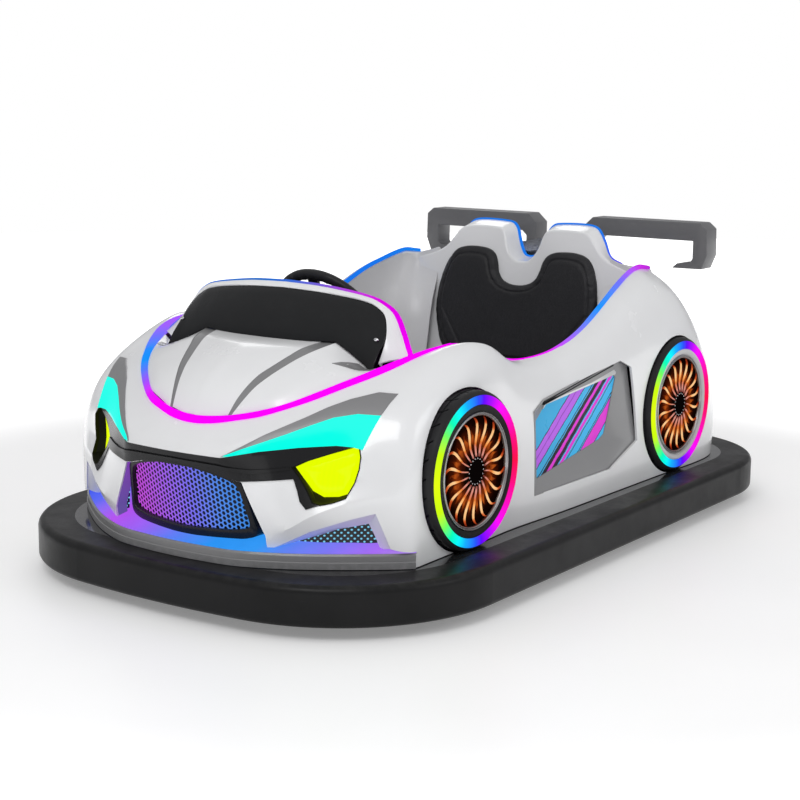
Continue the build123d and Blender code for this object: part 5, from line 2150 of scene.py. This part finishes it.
        # The dark disc gets a dim orange ring of painted light where the flame spokes light it.
        stops = ((0, (.002, .001, .001)), (.1, (.004, .001, 0)), (.24, (.05, .006, .001)),
            (.4, (.2, .028, .003)), (.58, (.05, .006, .001)), (.8, (.006, .001, 0)), (1, (.002, 0, 0)))
        glow = FlameGlow(f"disc_embers_{self.end}", stops, 1.0, (.006, .005, .005), self.centre, (.028, .125))
        # The rear band is a grey copy of the front's black band: painted light on the same black band.
        return [fit(band, BAND_BLACK if self.end == "front" else BAND_PAINTED_LIGHT, "black_gloss", angle=35),
            fit(line, RIM, "black_gloss", angle=35), fit(disc, glow, "wheel_light", angle=30)]

    def spoke(self, root: float) -> list[list[Point]]:
        """Draws the closed ribs of one curved spoke, whose root is at an angle."""
        return [[self.at(radius, root - math.radians(bulge) + half * math.cos(a) / radius, .499 + .0022
            * math.sin(a) + .004 * min(1, max(0, (.06 - radius) / .03))) for a in round_line(6)] for radius,
            bulge, half in self.spoke_shape]

    def ember(self, root: float, index: int, source: random.Random) -> list[list[Point]]:
        """Draws the closed ribs of one mark of painted spoke glow on the disc.

        Args:
            root: The angle of the spoke that it lies beside.
            index: The number of the spoke.
            source: The source of its wobble.

        Returns:
            The ribs.
        """
        ribs = []
        for step, (radius, half) in enumerate(self.spill_glow_shape):
            phi = root + math.radians(5.5 + 1.2 * math.sin(step * 1.9 + index) + source.uniform(-.8, .8))
            ribs.append([self.at(radius, phi + half * math.cos(a) / radius, .4966 + .0014 * math.sin(a))
                for a in (0, 1.2, 2.2, 3.2, 4.2, 5.2)])
        return ribs

    def flames(self) -> list[Obj]:
        """Builds the glowing spokes, the small marks of painted spoke glow between their roots and the studs of
        the hub.
        """
        roots = [math.radians(90 + 360 / self.spokes * (i + .15)) for i in range(self.spokes)]
        spokes = place(gathered(lofted(self.spoke(root), closed=True, capped=True) for root in roots),
            self.named("flame_spokes"))
        source = random.Random(7)
        spill_glows = place(gathered(lofted(self.ember(root, i, source), closed=True, capped=True) for i,
            root in enumerate(roots)), self.named("flame_spill_glows"))
        bm = bmesh.new()
        for turn in round_line(self.spokes):
            made = bmesh.ops.create_icosphere(bm, subdivisions=1, radius=.0021)
            bmesh.ops.translate(bm, verts=made["verts"], vec=self.at(.029, turn, .5014))
        hot = ((0, (.22, .05, .04)), (.1, (.72, .3, .24)), (.24, (.7, .22, .14)), (.34, (.75, .18, .03)),
            (.44, (1, .42, .12)), (.6, (1, .62, .3)), (.78, (.95, .5, .2)), (.86, (.62, .1, .02)),
            (.94, (.3, .03, .008)), (1, (.12, .01, .003)))
        # Dim orange painted light from the spokes, laid on the disc beside each one.
        dull = ((0, (.02, .003, 0)), (.35, (.3, .05, .006)), (.55, (.42, .08, .008)), (.8, (.14, .018, .002)),
            (1, (.01, .001, 0)))
        flame = FlameGlow(f"flame_colours_{self.end}", hot, 1.0, (.05, .02, .01), self.centre, (.034, .1225))
        ember = FlameGlow(f"ember_colours_{self.end}", dull, 1.0, (.03, .01, .01), self.centre, (.055, .098))
        studs = place(bm, self.named("hub_studs"))
        return [fit(piece, look, "wheel_light", angle=60) for piece, look in ((spokes, flame), (spill_glows, ember),
            (studs, AXLE))]

    def build(self) -> list[Obj]:
        """Builds the whole show wheel."""
        return [self.tyre(), self.ring(), *self.rim(), *self.flames()]


# ---- Doors, tail and controls ---------------------------------------------------------------


@dataclass
class Door:
    """One door recess: its sloped grey walls, the printed panel, and the lit ledge along its top."""

    side: Side
    rim: Outline = DOOR_RIM
    floor: Outline = ((-.189, .355), (-.1464, .386), (.196, .4125), (.202, .406), (.139, .273), (.118, .263),
        (-.1815, .2157))
    band: Outline = ((-.16, .38), (-.153, .3915), (.196, .4405), (.208, .429), (.198, .4155), (-.1475, .3885))

    def at(self, y: float, z: float, depth: float) -> Point:
        """Places a point of the recess at a depth inside the body's side, which leans with height."""
        out = .478 + .0045 * min(1, max(0, (y + .25) / .5))
        out -= max(0, z - .33) * .085 + max(0, z - .4) * .1 + max(0, .24 - z) * .01
        return (self.side.value * (out - depth), y, z)

    def sunk(self, outline: Sequence[Flat], depth: float) -> list[Point]:
        """Places a whole outline at a depth."""
        return [self.at(*p, depth) for p in outline]

    def build(self) -> list[Obj]:
        """Builds the recess."""
        out, word = self.side.value, self.side.word
        ribs = [self.sunk(self.rim, .0005), self.sunk(self.rim, .0028),
            self.sunk(blend(self.rim, self.floor, .96), .0155), self.sunk(self.floor, .017),
            self.sunk(self.floor, .021)]
        frame = sheet(ribs, (out, 0, 0), f"door_recess_{word}", .0025, closed=True)
        panel = place(slab(self.sunk(self.floor, .0185), (-out * .004, 0, 0)), f"door_print_{word}")
        flange = place(slab(self.sunk(self.band, .0172), (out * .0062, 0, 0)), f"door_flange_{word}")
        top = evenly(((-.168, .3985), (.182, .4475)), 13)
        slit = [self.sunk([(y, z - low) for y, z in top], depth) for low, depth in ((0, .003), (.0055, .008),
            (.006, .012), (.0065, .004))]
        ledge = sheet(slit, (out, 0, 0), f"door_slit_{word}", .0015)
        return [fit(frame, RECESS, "grey_trim", angle=20), fit(panel, DoorArt("door_graphic"), "door_graphic",
            f"door_panel_{word}", angle=30), fit(rounded(flange, .0008), WHITE, "body_gelcoat"),
            fit(ledge, DARK, "black_gloss", angle=30)]


@dataclass
class Tail:
    """The two wings behind the headrests, and the tail lamps."""

    wing: Outline = ((.078, .5), (.078, .738), (.106, .763), (.438, .763), (.459, .746), (.461, .674),
        (.446, .637), (.357, .636), (.372, .649), (.412, .656), (.418, .664), (.418, .713), (.126, .713),
        (.112, .699), (.112, .5))
    span: Flat = (.7045, .7675)
    lens: Outline = ((.01, .252), (-.0005, .253), (-.003, .257), (-.0035, .275), (.0015, .293), (.005, .297),
        (.014, .298))

    def lamp(self, side: Side) -> Obj:
        """Builds one tail lamp's lens, curved round the body's corner.

        Args:
            side: Which side.

        Returns:
            The lens.
        """
        ribs = []
        for k in range(17):
            x = .155 + .185 * k / 16
            y = .8855 - .62 * (x - .14) ** 2 - .1 * max(0, x - .26) ** 1.5
            ribs.append(side.put([(x, y - back, z) for back, z in self.lens]))
        lens = sheet(ribs, (0, 1, 0), f"tail_lens_{side.word}", .003)
        return fit(lens, RED, "red_light", f"tail_lamp_{side.word}", angle=40)

    def build(self) -> list[Obj]:
        """Builds both wings and lamps."""
        pieces = []
        for side in Side:
            wing = rounded(prism(side.flat(self.wing), View.FRONT, self.span, f"wing_moulding_{side.word}"),
                .0024)
            pieces += [fit(wing, WING, "grey_trim", f"wing_{side.word}"), self.lamp(side)]
        return pieces


@dataclass
class Steering:
    """The steering wheel: a gripped rim on three spokes with a padded hub."""

    centre: Flat = (-.382, .572)
    rise: float = math.radians(30)
    radius: float = .135
    grip: float = .0125
    spokes: Point = (90, 192, 348)
    arm: tuple[tuple[float, ...], ...] = ((.02, .02, .01, .016), (.045, .0165, .0085, .014),
        (.075, .0135, .0075, .009), (.105, .0135, .007, .003), (.133, .0165, .007, 0))
    cap: Outline = ((.001, .012), (.016, .0118), (.027, .01), (.0335, .006), (.0355, 0.0), (.036, -.012),
        (.034, -.022), (.024, -.03), (.001, -.031))

    def at(self, across: float, up: float, out: float) -> Point:
        """Places a point of the wheel: across it, up its face and out towards the driver."""
        s, c = math.sin(self.rise), math.cos(self.rise)
        return (across, self.centre[0] - up * s + out * c, self.centre[1] + up * c + out * s)

    def rim(self) -> Mesh:
        """Builds the rim, thicker where the hands hold it and notched behind for the fingers."""
        ribs = []
        for turn in round_line(144):
            rib = []
            for a in round_line(14):
                r = self.grip + .0009 * math.cos(2 * turn) ** 2 + .0011 * math.cos(turn * 36) * max(0,
                    -math.sin(a))
                reach = self.radius + r * math.cos(a)
                rib.append(self.at(reach * math.cos(turn), reach * math.sin(turn), r * .92 * math.sin(a)))
            ribs.append(rib)
        return outward(lofted([*ribs, ribs[0]], closed=True), 1e-5)

    def spoke(self, turn: float) -> Mesh:
        """Builds one spoke with a rounded-square section.

        Args:
            turn: Its angle round the wheel.

        Returns:
            The spoke's mesh.
        """
        way, side = Vector((math.cos(turn), math.sin(turn))), Vector((-math.sin(turn), math.cos(turn)))
        ribs = []
        for reach, half, thick, sink in self.arm:
            rib = []
            for a in round_line(10):
                flat, deep = (math.copysign(abs(v) ** .6, v) for v in (math.cos(a), math.sin(a)))
                rib.append(self.at(*(way * reach + side * half * flat), thick * deep - sink))
            ribs.append(rib)
        return lofted(ribs, closed=True, capped=True)

    def hub(self) -> Mesh:
        """Builds the padded hub."""
        ribs = [[self.at(radius * math.cos(a), radius * math.sin(a), out) for a in round_line(40)] for radius,
            out in self.cap]
        return outward(lofted(ribs, closed=True, capped=True), .0004)

    def build(self) -> list[Obj]:
        """Builds the whole wheel."""
        arms = gathered(self.spoke(math.radians(degrees)) for degrees in self.spokes)
        rim, spokes, hub = place(self.rim(), "steering_rim"), place(arms, "steering_spokes"), place(self.hub(),
            "steering_hub")
        return [fit(rim, GRIP, "steering_grip", "steering_wheel", angle=50, body="steering"),
            fit(spokes, BLACK, "steering_grip", angle=50, body="steering"), fit(hub, HUB, "steering_grip",
            angle=40, body="steering")]


@dataclass
class Chassis:
    """The carried-over parts of the chassis and the running gear, with their finishes."""

    finishes: tuple[tuple[Finish, tuple[str, ...]], ...] = ((BUMPER, ("bumper_ring", "bumper_band")),
        (FRAME, ("chassis_frame", "drive_mount")), (DECK, ("floor_deck",)), (BENCH, ("seat_bench",)),
        (BATTERY, ("battery_pack",)), (MOTOR, ("drive_motor",)), (PEDAL, ("foot_pedal",)),
        (AXLE, ("rear_axle", "drive_fork", "steering_rod", "steering_tube")),
        (ROAD, ("drive_wheel", "rear_wheel_left", "rear_wheel_right")),)

    def build(self, nodes: dict[str, Obj]) -> list[Obj]:
        """Dresses the carried-over nodes.

        Args:
            nodes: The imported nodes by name.

        Returns:
            The dressed nodes.
        """
        for finish, names in self.finishes:
            for name in names:
                finish.dress(nodes[name])
        return [nodes[name] for _, names in self.finishes for name in names]


# ---- Stage ----------------------------------------------------------------------------------


@dataclass
class Stage:
    """The plain floor, the lamps and the camera."""

    camera_place: Point = (2.4706, -3.6151, 1.1284)
    heading: float = .6108
    dip: float = .1814
    tilt: float = .01
    lens: float = 77.58
    floor_lift: float = .22

    def camera(self) -> None:
        """Sets the camera at its place."""
        data = bpy.data.cameras.new("camera")
        data.lens, data.sensor_width, data.clip_end = self.lens, 36, 60
        camera = bpy.data.objects.new("camera", data)
        bpy.context.scene.collection.objects.link(camera)
        s, c = math.sin(self.heading), math.cos(self.heading)
        back = Vector((s * math.cos(self.dip), -c * math.cos(self.dip), math.sin(self.dip)))
        right = Vector((c, s, 0))
        up = back.cross(right)
        s, c = math.sin(self.tilt), math.cos(self.tilt)
        frame = Matrix((right * c + up * s, up * c - right * s, back)).transposed().to_4x4()
        camera.matrix_world = Matrix.Translation(self.camera_place) @ frame
        bpy.context.scene.camera = camera

    def lamp(self, name: str, spot: Point, size: Flat, power: float) -> None:
        """Adds one soft area lamp that faces the car.

        Args:
            name: The lamp's name.
            spot: Where it hangs.
            size: The lengths of its sides.
            power: Its power in watts.
        """
        data = bpy.data.lights.new(name, "AREA")
        data.shape, data.size, data.size_y, data.energy = "RECTANGLE", *size, power
        lamp = bpy.data.objects.new(name, data)
        lamp.location = spot
        lamp.rotation_euler = (Vector((0, 0, .3)) - Vector(spot)).to_track_quat("-Z", "Y").to_euler()
        bpy.context.scene.collection.objects.link(lamp)

    def floor(self) -> None:
        """Lays the pale floor, which goes over into the white backdrop far from the car."""
        bm = bmesh.new()
        bmesh.ops.create_circle(bm, cap_ends=True, segments=64, radius=9)
        floor = place(bm, "floor")
        material = bpy.data.materials.new("floor")
        material.use_nodes = True
        g = Graph(material.node_tree, material.node_tree.nodes["Principled BSDF"])
        far = g.length(g.axes()["X"], g.axes()["Y"])
        g.look({"Base Color": g.mix(g.fit(g.noise(3.0), .3, .7), (.86, .86, .86), (.88, .88, .88)),
            "Roughness": .42, "Specular IOR Level": .35, "Emission Color": (1, 1, 1),
            "Emission Strength": g.fit(far, 1.5, 2.6, self.floor_lift, 1.0, soft=True)})
        floor.data.materials.append(material)

    def world(self) -> None:
        """Sets a white backdrop and soft light all round."""
        world = bpy.data.worlds.new("studio")
        world.use_nodes = True
        g = Graph(world.node_tree)
        path = g.node("LightPath").outputs
        height = g.axes(g.node("TexCoord").outputs["Generated"])["Z"]
        grey = ((0, (.3, .3, .31)), (.18, (.3, .3, .31)), (.5, (.45, .45, .46)), (1, (.75, .75, .75)))
        seen = g.calc("MAXIMUM", path["Is Camera Ray"], path["Is Transmission Ray"])
        g.feed(world.node_tree.nodes["Background"], {"Color": g.mix(seen, g.ramp(g.fit(height, -.2, 1), grey),
            (1, 1, 1)), "Strength": 1})
        bpy.context.scene.world = world

    def build(self) -> None:
        """Builds the whole stage."""
        bpy.context.scene.view_settings.view_transform = "Standard"
        self.world()
        self.camera()
        self.floor()
        self.lamp("key", (1.2, -3.6, 3.6), (2.4, 1.6), 60)
        self.lamp("side", (4.2, .6, 2.4), (2.6, 1.6), 26)
        self.lamp("back", (-2.6, 3.0, 3.2), (2.4, 1.6), 24)


def main() -> None:
    """Builds every sub-assembly in order."""
    logging.basicConfig(level=logging.INFO, format="%(message)s")
    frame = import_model()
    Stage().build()
    body = Body()
    skin = body.skin()
    steps: list[tuple[str, Callable[[], list[Obj]]]] = [("body shell", lambda: body.build(skin)),
        ("nose panels", lambda: Plates().build(skin)), ("wheel wells", Arches().build),
        ("mouth", lambda: Nose().build(skin)), ("bonnet", Bonnet().build), ("nose light", NoseLight().build),
        ("screen", Screen().build), ("cockpit", Cockpit().build), ("cushions", Cushions().build),
        ("tail", Tail().build), ("steering wheel", Steering().build),
        ("chassis", lambda: Chassis().build(frame["nodes"])),]
    for side in Side:
        steps.append((f"door {side.word}", Door(side).build))
        for end, centre in (("front", (-.51, .298)), ("rear", (.489, .301))):
            steps.append((f"{end} {side.word} show wheel", ShowWheel(side, end, centre).build))
    for word, make in steps:
        for piece in make():
            LOG.info("%s: %s, %d faces", word, piece.name, len(piece.data.polygons))
    drop(skin)


if __name__ == "__main__":
    main()
